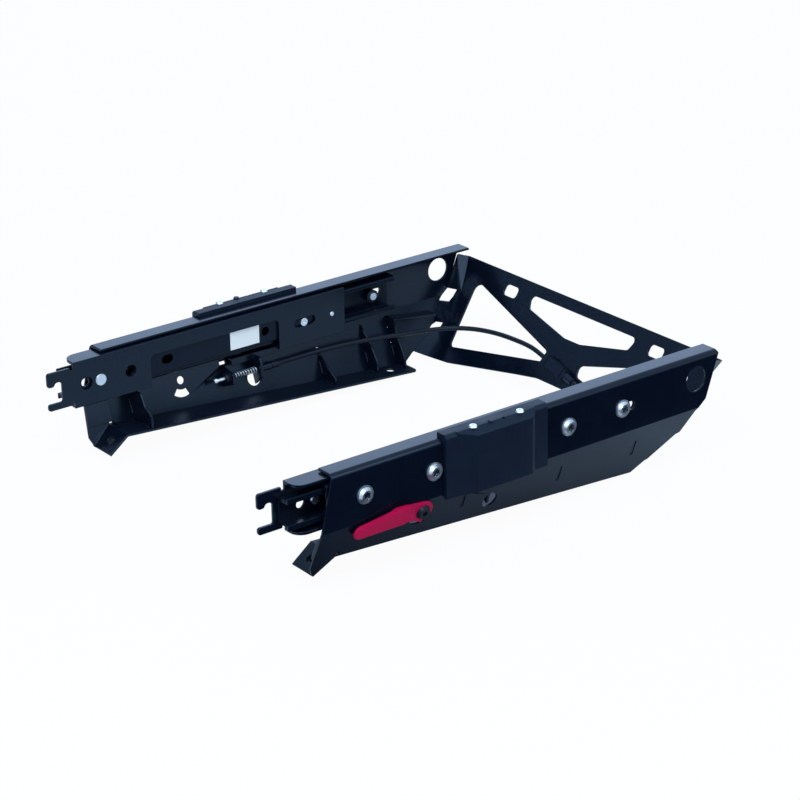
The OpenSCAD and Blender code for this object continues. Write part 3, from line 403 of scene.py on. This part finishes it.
def turned(name, profile, centre, material, body, tilt):
    """A ring from a closed profile of radius and length in millimetres, turned about the Y axis
    through centre and then tilted about X."""
    deselect()
    radius, along = profile[0]
    ring = centre + Vector((0, along * MM, 0))
    bpy.ops.mesh.primitive_circle_add(vertices=TURNED_SIDES, radius=radius * MM, location=ring,
                                      rotation=(math.pi / 2, 0, 0))
    piece = bpy.context.object
    piece.name = name
    bpy.ops.object.transform_apply(location=True, rotation=True, scale=True)
    bpy.ops.object.mode_set(mode="EDIT")
    bpy.ops.mesh.select_all(action="SELECT")
    for (r0, y0), (r1, y1) in zip(profile, profile[1:]):
        step = (y1 - y0) * MM
        bpy.ops.mesh.extrude_region_move(TRANSFORM_OT_translate={"value": (0, step, 0)})
        ring.y += step
        bpy.ops.transform.resize(value=(r1 / r0, 1, r1 / r0), center_override=ring)
    bpy.ops.mesh.select_all(action="DESELECT")
    bpy.ops.mesh.select_mode(type="EDGE")
    bpy.ops.mesh.select_non_manifold()
    bpy.ops.mesh.bridge_edge_loops()
    bpy.ops.mesh.select_all(action="SELECT")
    bpy.ops.mesh.normals_make_consistent(inside=False)
    bpy.ops.mesh.select_mode(type="VERT")
    bpy.ops.object.mode_set(mode="OBJECT")
    lean = Matrix.Rotation(tilt, 4, "X")
    piece.data.transform(Matrix.Translation(centre) @ lean @ Matrix.Translation(-centre))
    bpy.ops.object.shade_smooth_by_angle(angle=TURNED_SMOOTH)
    set_material(piece, MATERIALS[material])
    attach(piece, body)
    return piece


def copied(piece, name, shift, body):
    """A copy of a piece with its own mesh, moved by shift."""
    make_active(piece)
    bpy.ops.object.duplicate()
    copy = bpy.context.object
    copy.name = name
    bpy.ops.object.mode_set(mode="EDIT")
    bpy.ops.mesh.select_all(action="SELECT")
    bpy.ops.transform.translate(value=shift)
    bpy.ops.object.mode_set(mode="OBJECT")
    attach(copy, body)
    return copy


def smooth_path(points, steps):
    """A Catmull-Rom curve through all points, with steps between each two."""
    path = []
    last = len(points) - 1
    for i in range(last):
        p0, p1, p2, p3 = (points[min(max(j, 0), last)] for j in (i - 1, i, i + 1, i + 2))
        for k in range(steps):
            t = k / steps
            path.append(0.5 * (2 * p1 + (p2 - p0) * t
                               + (2 * p0 - 5 * p1 + 4 * p2 - p3) * t * t
                               + (3 * p1 - p0 - 3 * p2 + p3) * t ** 3))
    path.append(points[-1])
    return path


# Settings


def colour_property(name, description, hex_colour):
    """A colour setting whose default is written as sRGB hex."""
    return bpy.props.FloatVectorProperty(
        name=name, description=description, default=linear(hex_colour),
        subtype="COLOR", size=4, min=0.0, max=1.0)


def length_property(name, description, default_mm):
    """A length setting whose default is written in millimetres."""
    return bpy.props.FloatProperty(
        name=name, description=description, default=default_mm * MM,
        min=0.0, precision=5, unit="LENGTH")


class SeatRailFinishes(bpy.types.PropertyGroup):
    """Colours of the part's finishes."""

    coat_dark: colour_property("Coat, dark", "Dark end of the black dip coat", "#060b16")
    coat_light: colour_property("Coat, light", "Light end of the black dip coat", "#0a1220")
    zinc_dark: colour_property("Zinc, dark", "Dark end of the zinc plate", "#d8dfe7")
    zinc_light: colour_property("Zinc, light", "Light end of the zinc plate", "#f4f8fb")
    plastic_dark: colour_property("Plastic, dark", "Dark end of the moulded plastic", "#0a121f")
    plastic_light: colour_property("Plastic, light", "Light end of the moulded plastic", "#0f1a2b")
    lever_dark: colour_property("Lever, dark", "Dark end of the lever's coating", "#a80c3c")
    lever_light: colour_property("Lever, light", "Light end of the lever's coating", "#c80f45")


class SeatRailSizes(bpy.types.PropertyGroup):
    """Sizes of the eased edges, the welds, the cable and the spring."""

    sheet_edge: length_property("Sheet edge", "Easing of the pressed edges", 0.6)
    rail_edge: length_property("Rail edge", "Easing of the rails' edges", 0.5)
    plastic_edge: length_property("Plastic edge", "Easing of the moulded edges", 0.6)
    joint_edge: length_property("Joint edge", "Rounding of the cable joint's edges", 1.6)
    screw_edge: length_property("Screw edge", "Easing of the screws' edges", 0.2)
    lever_edge: length_property("Lever edge", "Easing of the lever's edges", 0.5)
    rod_edge: length_property("Rod edge", "Easing of the release rods' edges", 0.25)
    weld_r: length_property("Weld bead", "Radius of the weld beads", 1.5)
    cable_d: length_property("Cable", "Diameter of the cable's sheath", 5.0)
    spring_wire_d: length_property("Spring wire", "Diameter of the return spring's wire", 0.9)
    spring_d: length_property("Spring", "Outside diameter of the return spring", 7.0)


class SeatRailStage(bpy.types.PropertyGroup):
    """Camera and light."""

    lens: bpy.props.FloatProperty(
        name="Lens", description="Focal length on a 36 mm sensor", default=119.175, unit="CAMERA")
    key_power: bpy.props.FloatProperty(
        name="Key light", description="Power of the soft light above the front",
        default=36.0, unit="POWER")
    back_power: bpy.props.FloatProperty(
        name="Back light", description="Power of the soft light behind",
        default=12.0, unit="POWER")
    fill_power: bpy.props.FloatProperty(
        name="Fill light", description="Power of the soft light at the side",
        default=12.0, unit="POWER")
    room_light: bpy.props.FloatProperty(
        name="Room light", description="Strength of the even light from all sides", default=0.60)
    light_colour: colour_property("Light", "Cool colour of the lamps and of the room", "#cfe7ff")
    back_colour: colour_property("Back light", "Colour of the light behind", "#b9d2ff")


# Stage

# Place and axes of the camera that fits the photograph, its sensor and how far it sees
CAMERA_AT = Vector((1.89776, -1.40585, 1.05596))
CAMERA_RIGHT = Vector((0.607120, 0.794419, -0.017438))
CAMERA_UP = Vector((-0.298413, 0.248287, 0.921576))
CAMERA_BACK = Vector((0.736447, -0.554304, 0.387805))
SENSOR_MM = 36.0
SIGHT = 50.0
# Soft lamps: place, width and height, and the settings of their power and colour
LAMPS = {
    "key_light": ((0.9, -1.2, 1.9), (1.6, 1.0), "key_power", "light_colour"),
    "back_light": ((-1.5, 1.7, 1.15), (2.4, 1.1), "back_power", "back_colour"),
    "fill_light": ((2.2, 0.9, 1.4), (1.2, 1.2), "fill_power", "light_colour"),
}
LAMP_TARGET = Vector((0, 0, 0.05))
# Share of the lamps that shows in reflections, as behind a diffuser
LAMP_GLOSS = 0.5
# Side of the floor, its depth under the feet, and how much of what is seen of it is plain white
FLOOR_SIZE = 30.0
FLOOR_DROP = 0.4 * MM
FLOOR_WHITE = 0.95
# Painted reflections: cards that show only in reflections and cast no light or shade, with the
# colours of their front and rear end, and their corners. The dark one lies beside the lever's side
# and paints a dark reflection on that side's wall, the graded one lies along the foot of that
# side's lean wall and paints its reflection from dark at the front to light at the rear, and the
# grey one stands before the brace and darkens its reflection.
PAINTED_REFLECTION_CARDS = {
    "dark_flag": ("#0a1220", "#0a1220", (
        (0.265, -0.6, 0.001), (1.43, -0.6, 0.001), (0.265, 0.9, 0.001), (1.43, 0.9, 0.001))),
    "graded_flag": ("#10161e", "#ffffff", (
        (0.17, -0.26, 0.001), (0.265, -0.26, 0.001), (0.17, 0.22, 0.001), (0.265, 0.22, 0.001))),
    "grey_flag": ("#a9b3be", "#a9b3be", (
        (-1.7, -0.2, 0.25), (-0.6, -1.3, 0.25), (-1.7, -0.2, 1.15), (-0.6, -1.3, 1.15))),
}


def look_matrix(place, target):
    """Matrix of a lamp at place whose light goes to target."""
    back = (place - target).normalized()
    return Matrix.Translation(place) @ back.to_track_quat("Z", "Y").to_matrix().to_4x4()


def sort_rays(tree, light_colour):
    """Two sockets: one that is 1 for the rays that see, in mirrors and through glass too, and the
    colour they see, which is white for the camera and light_colour for the rest."""
    rays = add_node(tree, "ShaderNodeLightPath").outputs
    seen = rays["Is Camera Ray"]
    for kind in ("Is Glossy Ray", "Is Transmission Ray"):
        either = add_node(tree, "ShaderNodeMath", {0: seen, 1: rays[kind]}, operation="MAXIMUM")
        seen = either.outputs[0]
    return seen, mixed_colour(tree, rays["Is Camera Ray"], light_colour, WHITE)


class SEATRAIL_OT_stage(bpy.types.Operator):
    """Camera, pale floor and soft studio light"""

    bl_idname = "seat_rail.stage"
    bl_label = "Stage"

    def execute(self, context):
        """Makes the camera, floor, world, cards and lamps."""
        setup = context.scene.seat_rail_stage
        self.make_camera(context, setup.lens)
        context.scene.view_settings.view_transform = "Standard"
        self.make_floor(context, setup.light_colour)
        self.make_world(context, setup.light_colour, setup.room_light)
        self.make_painted_reflections(context)
        for name, (place, size, power, colour) in LAMPS.items():
            lamp = bpy.data.lights.new(name, "AREA")
            lamp.shape = "RECTANGLE"
            lamp.size, lamp.size_y = size
            lamp.energy = getattr(setup, power)
            lamp.color = getattr(setup, colour)[:3]
            lamp.specular_factor = LAMP_GLOSS
            holder = bpy.data.objects.new(name, lamp)
            holder.matrix_world = look_matrix(Vector(place), LAMP_TARGET)
            context.scene.collection.objects.link(holder)
        return {"FINISHED"}

    @staticmethod
    def make_camera(context, lens):
        """The camera at the photograph's place."""
        camera = bpy.data.cameras.new("photo_camera")
        camera.lens = lens
        camera.sensor_width = SENSOR_MM
        camera.clip_end = SIGHT
        eye = bpy.data.objects.new("photo_camera", camera)
        axes = Matrix((CAMERA_RIGHT, CAMERA_UP, CAMERA_BACK)).transposed().to_4x4()
        eye.matrix_world = Matrix.Translation(CAMERA_AT) @ axes
        context.scene.collection.objects.link(eye)
        context.scene.camera = eye

    @staticmethod
    def make_floor(context, light_colour):
        """A wide pale floor that the camera sees as white, apart from a soft shadow."""
        deselect()
        bpy.ops.mesh.primitive_plane_add(size=FLOOR_SIZE, location=(0, 0, -FLOOR_DROP))
        floor = context.object
        floor.name = "pale_floor"
        # Matt white paper: plain white light on top of a diffuse sheet that takes the shadow
        material, tree, output = start_material("matt_white_paper")
        seen, tone = sort_rays(tree, light_colour)
        share = add_node(tree, "ShaderNodeMath", {0: seen, 1: FLOOR_WHITE}, operation="MULTIPLY")
        paper = add_node(tree, "ShaderNodeBsdfDiffuse", {"Color": linear("#f4f5f7")})
        white = add_node(tree, "ShaderNodeEmission", {"Color": tone, "Strength": 1.0})
        mixed = add_node(tree, "ShaderNodeMixShader",
                         {0: share.outputs[0], 1: paper.outputs["BSDF"],
                          2: white.outputs["Emission"]})
        tree.links.new(mixed.outputs["Shader"], output.inputs["Surface"])
        set_material(floor, material)

    @staticmethod
    def make_painted_reflections(context):
        """Painted reflections: cards that show only in reflections and neither light, shade nor
        show to the camera.
        """
        for name, (front, rear, corners) in PAINTED_REFLECTION_CARDS.items():
            # Painted reflection: a dull card whose colour, graded from its front end to its rear
            # end, stands in for the surroundings seen in the coat
            material, tree, output = start_material("flocked_card")
            place = add_node(tree, "ShaderNodeSeparateXYZ", {"Vector": object_coords(tree)})
            along = add_node(tree, "ShaderNodeMapRange",
                             {"Value": place.outputs["Y"],
                              "From Min": corners[0][1], "From Max": corners[2][1]})
            colour = mixed_colour(tree, along.outputs["Result"], linear(front), linear(rear))
            flock = add_node(tree, "ShaderNodeBsdfDiffuse", {"Color": colour})
            tree.links.new(flock.outputs["BSDF"], output.inputs["Surface"])
            deselect()
            bpy.ops.mesh.primitive_plane_add(size=1.0)
            reflection_card = context.object
            reflection_card.name = name
            for vertex, corner in zip(reflection_card.data.vertices, corners):
                vertex.co = corner
            set_material(reflection_card, material)
            # Painted reflection: seen by glossy rays only, so it casts no light or shade and the
            # camera never sees it
            reflection_card.visible_camera = False
            reflection_card.visible_diffuse = False
            reflection_card.visible_shadow = False
            reflection_card.visible_transmission = False

    @staticmethod
    def make_world(context, light_colour, strength):
        """White to the camera, pale and cool in reflections, and an even light elsewhere."""
        world = bpy.data.worlds.new("white_room")
        context.scene.world = world
        world.use_nodes = True
        tree = world.node_tree
        tree.nodes.clear()
        seen, tone = sort_rays(tree, light_colour)
        level = add_node(tree, "ShaderNodeMapRange",
                         {"Value": seen, "To Min": strength, "To Max": 1.0})
        white = add_node(tree, "ShaderNodeBackground",
                         {"Color": tone, "Strength": level.outputs["Result"]})
        output = add_node(tree, "ShaderNodeOutputWorld")
        tree.links.new(white.outputs["Background"], output.inputs["Surface"])


# Pieces

# Shift of the source's stations along Y to the frame's, in millimetres
SHIFT_Y = -22.3403


def from_source(x, y, z):
    """Place in the frame of a point in the source's millimetres."""
    return Vector((x * MM, (y + SHIFT_Y) * MM, z * MM))


# Share of a face's normal along an axis: square to it over the first, along it under the second
SQUARE = 0.9
ALONG = 0.2
# Height under which an upward face belongs to a side panel's floor flange
FLOOR_FLANGE_TOP = 40 * MM
# Depth of the panel screws' driver recess
RECESS_DEPTH = 2.6 * MM


def on_floor_flange(face):
    """Whether a face of a side panel is the top of its floor flange."""
    return face.normal.z > SQUARE and face.center.z < FLOOR_FLANGE_TOP


def in_recess(face, head_x, edge):
    """Whether a face is a wall or the floor of a driver recess in a head whose top is at head_x."""
    depth, share = head_x - abs(face.center.x), abs(face.normal.x)
    wall = share < ALONG
    bottom = share > SQUARE and depth > RECESS_DEPTH - edge
    return edge < depth < RECESS_DEPTH + edge and (wall or bottom)


def is_before(face, y):
    """Whether a face lies before a station."""
    return face.center.y < y


class SEATRAIL_OT_pressings(bpy.types.Operator):
    """Folded panels, gussets, brace and small plates with eased edges"""

    bl_idname = "seat_rail.pressings"
    bl_label = "Steel pressings"

    def execute(self, context):
        """Eases the edges of each pressing."""
        edge = context.scene.seat_rail_sizes.sheet_edge
        for node in both("front_gusset", "mid_gusset", "rear_gussets", "latch_plate", "cable_stop"):
            eased(node, edge)
        eased("cross_brace", edge, flats=False)
        for node in both("side_panel"):
            refinish(eased(node, edge), "drained_coat", on_floor_flange)
        return {"FINISHED"}


class SEATRAIL_OT_rails(bpy.types.Operator):
    """Rails, hook brackets, ball cages and balls"""

    bl_idname = "seat_rail.rails"
    bl_label = "Rails"

    def execute(self, context):
        """Eases the rails and brackets and finishes the balls."""
        for node in both("fixed_rail", "sliding_rail", "hook_bracket"):
            eased(node, context.scene.seat_rail_sizes.rail_edge)
        for node in both("ball_cage", "balls"):
            keep_solid(node)
        return {"FINISHED"}


class SEATRAIL_OT_fasteners(bpy.types.Operator):
    """Screws, nuts, rivets and the lever's pivot"""

    bl_idname = "seat_rail.fasteners"
    bl_label = "Fasteners"

    def execute(self, context):
        """Eases the edges of each set of fasteners."""
        edge = context.scene.seat_rail_sizes.screw_edge
        for node in (*both("panel_nuts", "cover_screws", "bracket_rivets", "slot_screw"),
                     "lever_pivot_bolt", "lever_pivot_nut"):
            eased(node, edge, clamp=True)
        # Painted shade: the walls and floor of each driver recess get a dark grey zinc
        for node in both("panel_screws"):
            head_x = max(abs(corner.x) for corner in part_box(node))
            refinish(eased(node, edge, clamp=True), "recess_painted_shade", in_recess, head_x, edge)
        return {"FINISHED"}


class SEATRAIL_OT_covers(bpy.types.Operator):
    """Moulded covers over the panels' middles and the cable joint"""

    bl_idname = "seat_rail.covers"
    bl_label = "Moulded covers"

    def execute(self, context):
        """Eases the moulded edges."""
        sizes = context.scene.seat_rail_sizes
        for node in both("cover"):
            eased(node, sizes.plastic_edge, segments=3, clamp=True)
        eased("cable_joint", sizes.joint_edge, segments=4, clamp=True)
        return {"FINISHED"}


class SEATRAIL_OT_lever(bpy.types.Operator):
    """Red release lever and its arm, and the release rods"""

    bl_idname = "seat_rail.lever"
    bl_label = "Release lever"

    def execute(self, context):
        """Eases the lever and the rods, and leaves the right rod bright before its latch plate."""
        sizes = context.scene.seat_rail_sizes
        eased("lever_grip", sizes.lever_edge, segments=3)
        eased("lever_arm", sizes.sheet_edge)
        bright_before = {"release_rod_left": -math.inf,
                         "release_rod_right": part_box("latch_plate_right")[0].y}
        for node, y in bright_before.items():
            rod = eased(node, sizes.rod_edge)
            set_material(rod, MATERIALS["black_oxide_steel"])
            refinish(rod, "zinc_plated_steel", is_before, y)
        return {"FINISHED"}


# Places along the cable in the source's millimetres, from the right stop to the left one
CABLE_ROUTE = [
    (-182, 18, 43.7), (-182, 36, 44), (-180, 60, 45), (-176, 88, 46.5), (-171, 116, 47),
    (-167, 144, 46), (-161, 172, 45), (-152, 198, 45.5), (-138, 218, 47), (-118, 232, 48.5),
    (-94, 241, 49), (-68, 245.5, 48.5), (-44, 247.5, 47), (-22, 246, 43.5), (0, 243.2, 39.3),
    (22, 240.4, 35), (34, 238.9, 32.7), (50, 235, 28.8), (70, 229.5, 25.5), (94, 223, 23.5),
    (120, 213, 23), (141, 198, 24.5), (154, 178, 27.5), (162, 154, 31), (168, 128, 34),
    (173, 100, 37), (177, 74, 40), (180, 50, 42.3), (182, 32, 43.5), (182, 18, 43.7)]
CABLE_STEPS = 6


class SEATRAIL_OT_cable(bpy.types.Operator):
    """Release cable from one cable stop to the other"""

    bl_idname = "seat_rail.cable"
    bl_label = "Release cable"

    def execute(self, context):
        """Draws the cable along its route."""
        d = context.scene.seat_rail_sizes.cable_d
        path = smooth_path([from_source(*point) for point in CABLE_ROUTE], CABLE_STEPS)
        cable = stroke("release_cable", path, d / 2, "cable")
        return {"FINISHED"}


# Turns of the return spring and steps in a turn
SPRING_TURNS = 9
SPRING_STEPS = 28


class SEATRAIL_OT_spring(bpy.types.Operator):
    """Return spring round the right release rod"""

    bl_idname = "seat_rail.spring"
    bl_label = "Return spring"

    def execute(self, context):
        """Winds the spring in the place of its solid."""
        sizes = context.scene.seat_rail_sizes
        low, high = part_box("return_spring")
        wire = sizes.spring_wire_d
        axis_x, axis_z = (low.x + high.x) / 2, (low.z + high.z) / 2
        start, end = low.y + wire / 2, high.y - wire / 2
        r = (sizes.spring_d - wire) / 2
        steps = SPRING_TURNS * SPRING_STEPS
        path = []
        for i in range(steps + 1):
            turn = 2 * math.pi * i / SPRING_STEPS
            y = start + (end - start) * i / steps
            path.append(Vector((axis_x - r * math.cos(turn), y, axis_z + r * math.sin(turn))))
        spring = stroke("return_spring_wire", path, wire / 2, "return_spring", ring=3)
        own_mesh(spring)
        return {"FINISHED"}


# Profiles as pairs of radius and length, in millimetres from a place on the axis
BUSH_PROFILE = [(2.2, -5.5), (4.0, -5.5), (4.8, -4.9), (5.3, -3.6), (5.3, -2.4), (4.6, -1.9),
                (4.6, -1.5), (6.0, -1.35), (6.0, -0.1), (2.2, -0.1)]
CRIMP_PROFILE = [(2.56, 0.0), (3.5, 0.0), (3.7, 0.3), (3.7, 1.6), (3.3, 2.0), (3.3, 3.0),
                 (3.7, 3.4), (3.7, 4.8), (3.3, 5.2), (3.3, 6.2), (3.7, 6.6), (3.7, 8.0),
                 (3.4, 8.6), (2.56, 8.6)]
COLLAR_PROFILE = [(4.5, 0.05), (7.4, 0.05), (7.4, 5.2), (6.8, 5.8), (4.9, 5.8), (4.5, 5.4)]
# Gap between a cable stop and the crimp behind it, in millimetres
CRIMP_GAP = 0.2


class SEATRAIL_OT_turned(bpy.types.Operator):
    """Rubber bushes of the release rods, crimped cable ends and collars under the front feet"""

    bl_idname = "seat_rail.turned"
    bl_label = "Bushes, crimps and collars"

    def execute(self, context):
        """Turns the left bush, crimp and collar, and copies each to the right."""
        end_x, end_y, end_z = CABLE_ROUTE[-1]
        crimp_at = from_source(end_x, end_y + CRIMP_GAP, end_z)
        bush_at = Vector((crimp_at.x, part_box("latch_plate_left")[0].y, crimp_at.z))
        foot = next(m for m in frame["record"]["mounts"] if m["name"] == "front_foot_bolt_left")
        axis = Vector(foot["axis"])
        sole_at = Vector(foot["pos_m"]) - axis * foot["dims"]["length_mm"] / 2 * MM
        sole_tilt = math.atan2(-axis.z, -axis.y)
        for name, profile, place, material, tilt in (
                ("rod_bush", BUSH_PROFILE, bush_at, "black_sheath", 0.0),
                ("cable_crimp", CRIMP_PROFILE, crimp_at, "black_oxide_steel", 0.0),
                ("foot_collar", COLLAR_PROFILE, sole_at, "black_coated_steel", sole_tilt)):
            left = turned(name + "_left", profile, place, material, "frame", tilt)
            copied(left, name + "_right", (-2 * place.x, 0, 0), "frame")
        return {"FINISHED"}


# Lean of the lower wall, and across and height of its inner face at the fold, in millimetres
LEAN = math.tan(math.radians(20.4))
FOLD_X, FOLD_Z = 198.33, 58.0
# Station and height of the floor flange's top at its front, and its fall along the stations
FLOOR_Y, FLOOR_Z = -172.0, 29.0
FLOOR_FALL = 24.7 / 356
# Stitches at each gusset: station, floor seam's two ends across, wall seam's two heights
STITCHES = ((-143, 158, 170, 31, 48), (84, 164, 178, 16, 31),
            (142, 169, 180, 14, 26), (176.5, 167, 178, 13, 25))
GUSSET_T = 2.5
BEAD_RING = 2


class SEATRAIL_OT_welds(bpy.types.Operator):
    """Short weld beads that hold the gussets to the side panels"""

    bl_idname = "seat_rail.welds"
    bl_label = "Weld beads"

    def execute(self, context):
        """Lays a floor seam and a wall seam on both faces of each gusset."""
        radius = context.scene.seat_rail_sizes.weld_r
        for side, sign in zip(SIDES, (1, -1)):
            lines = []
            for station, x0, x1, z0, z1 in STITCHES:
                for y in (station - GUSSET_T / 2, station + GUSSET_T / 2):
                    floor_z = FLOOR_Z - FLOOR_FALL * (y - FLOOR_Y)
                    floor_seam = [(x, floor_z) for x in (x0, x1)]
                    wall_seam = [(FOLD_X - LEAN * (FOLD_Z - z), z) for z in (z0, z1)]
                    for seam in (floor_seam, wall_seam):
                        lines.append(bead_line(*(from_source(sign * x, y, z) for x, z in seam)))
            drawn(f"weld_beads_{side}", lines, radius, BEAD_RING, BEAD_SMOOTH, f"side_panel_{side}")
        return {"FINISHED"}


class SEATRAIL_OT_label(bpy.types.Operator):
    """Blank silver label on the right rail"""

    bl_idname = "seat_rail.label"
    bl_label = "Label"

    def execute(self, context):
        """Finishes the label."""
        keep_solid("rail_label")
        return {"FINISHED"}


class SEATRAIL_PT_panel(bpy.types.Panel):
    """Settings and steps of the seat rail"""

    bl_idname = "SEATRAIL_PT_panel"
    bl_label = "Seat rail"
    bl_space_type = "VIEW_3D"
    bl_region_type = "UI"
    bl_category = "Seat rail"

    def draw(self, context):
        """Draws the settings and one button for each step."""
        for name in GROUPS:
            group = getattr(context.scene, name)
            box = self.layout.box()
            for key in group.__annotations__:
                box.prop(group, key)
        for operator in OPERATORS:
            self.layout.operator(operator.bl_idname)


GROUPS = {"seat_rail_finishes": SeatRailFinishes, "seat_rail_sizes": SeatRailSizes,
          "seat_rail_stage": SeatRailStage}
OPERATORS = (SEATRAIL_OT_stage, SEATRAIL_OT_cable, SEATRAIL_OT_pressings, SEATRAIL_OT_rails,
             SEATRAIL_OT_fasteners, SEATRAIL_OT_covers, SEATRAIL_OT_lever, SEATRAIL_OT_spring,
             SEATRAIL_OT_turned, SEATRAIL_OT_welds, SEATRAIL_OT_label)


def register():
    """Registers the settings, operators and panel."""
    for name, group in GROUPS.items():
        bpy.utils.register_class(group)
        setattr(bpy.types.Scene, name, bpy.props.PointerProperty(type=group))
    for operator in OPERATORS:
        bpy.utils.register_class(operator)
    bpy.utils.register_class(SEATRAIL_PT_panel)


def unregister():
    """Takes them out again."""
    bpy.utils.unregister_class(SEATRAIL_PT_panel)
    for operator in reversed(OPERATORS):
        bpy.utils.unregister_class(operator)
    for name, group in GROUPS.items():
        delattr(bpy.types.Scene, name)
        bpy.utils.unregister_class(group)


def main():
    """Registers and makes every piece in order."""
    register()
    MATERIALS.update(make_materials())
    bpy.ops.seat_rail.stage()
    bpy.ops.seat_rail.cable()
    bpy.ops.seat_rail.pressings()
    bpy.ops.seat_rail.rails()
    bpy.ops.seat_rail.fasteners()
    bpy.ops.seat_rail.covers()
    bpy.ops.seat_rail.lever()
    bpy.ops.seat_rail.spring()
    bpy.ops.seat_rail.turned()
    bpy.ops.seat_rail.welds()
    bpy.ops.seat_rail.label()
    deselect()


if __name__ == "__main__":
    main()
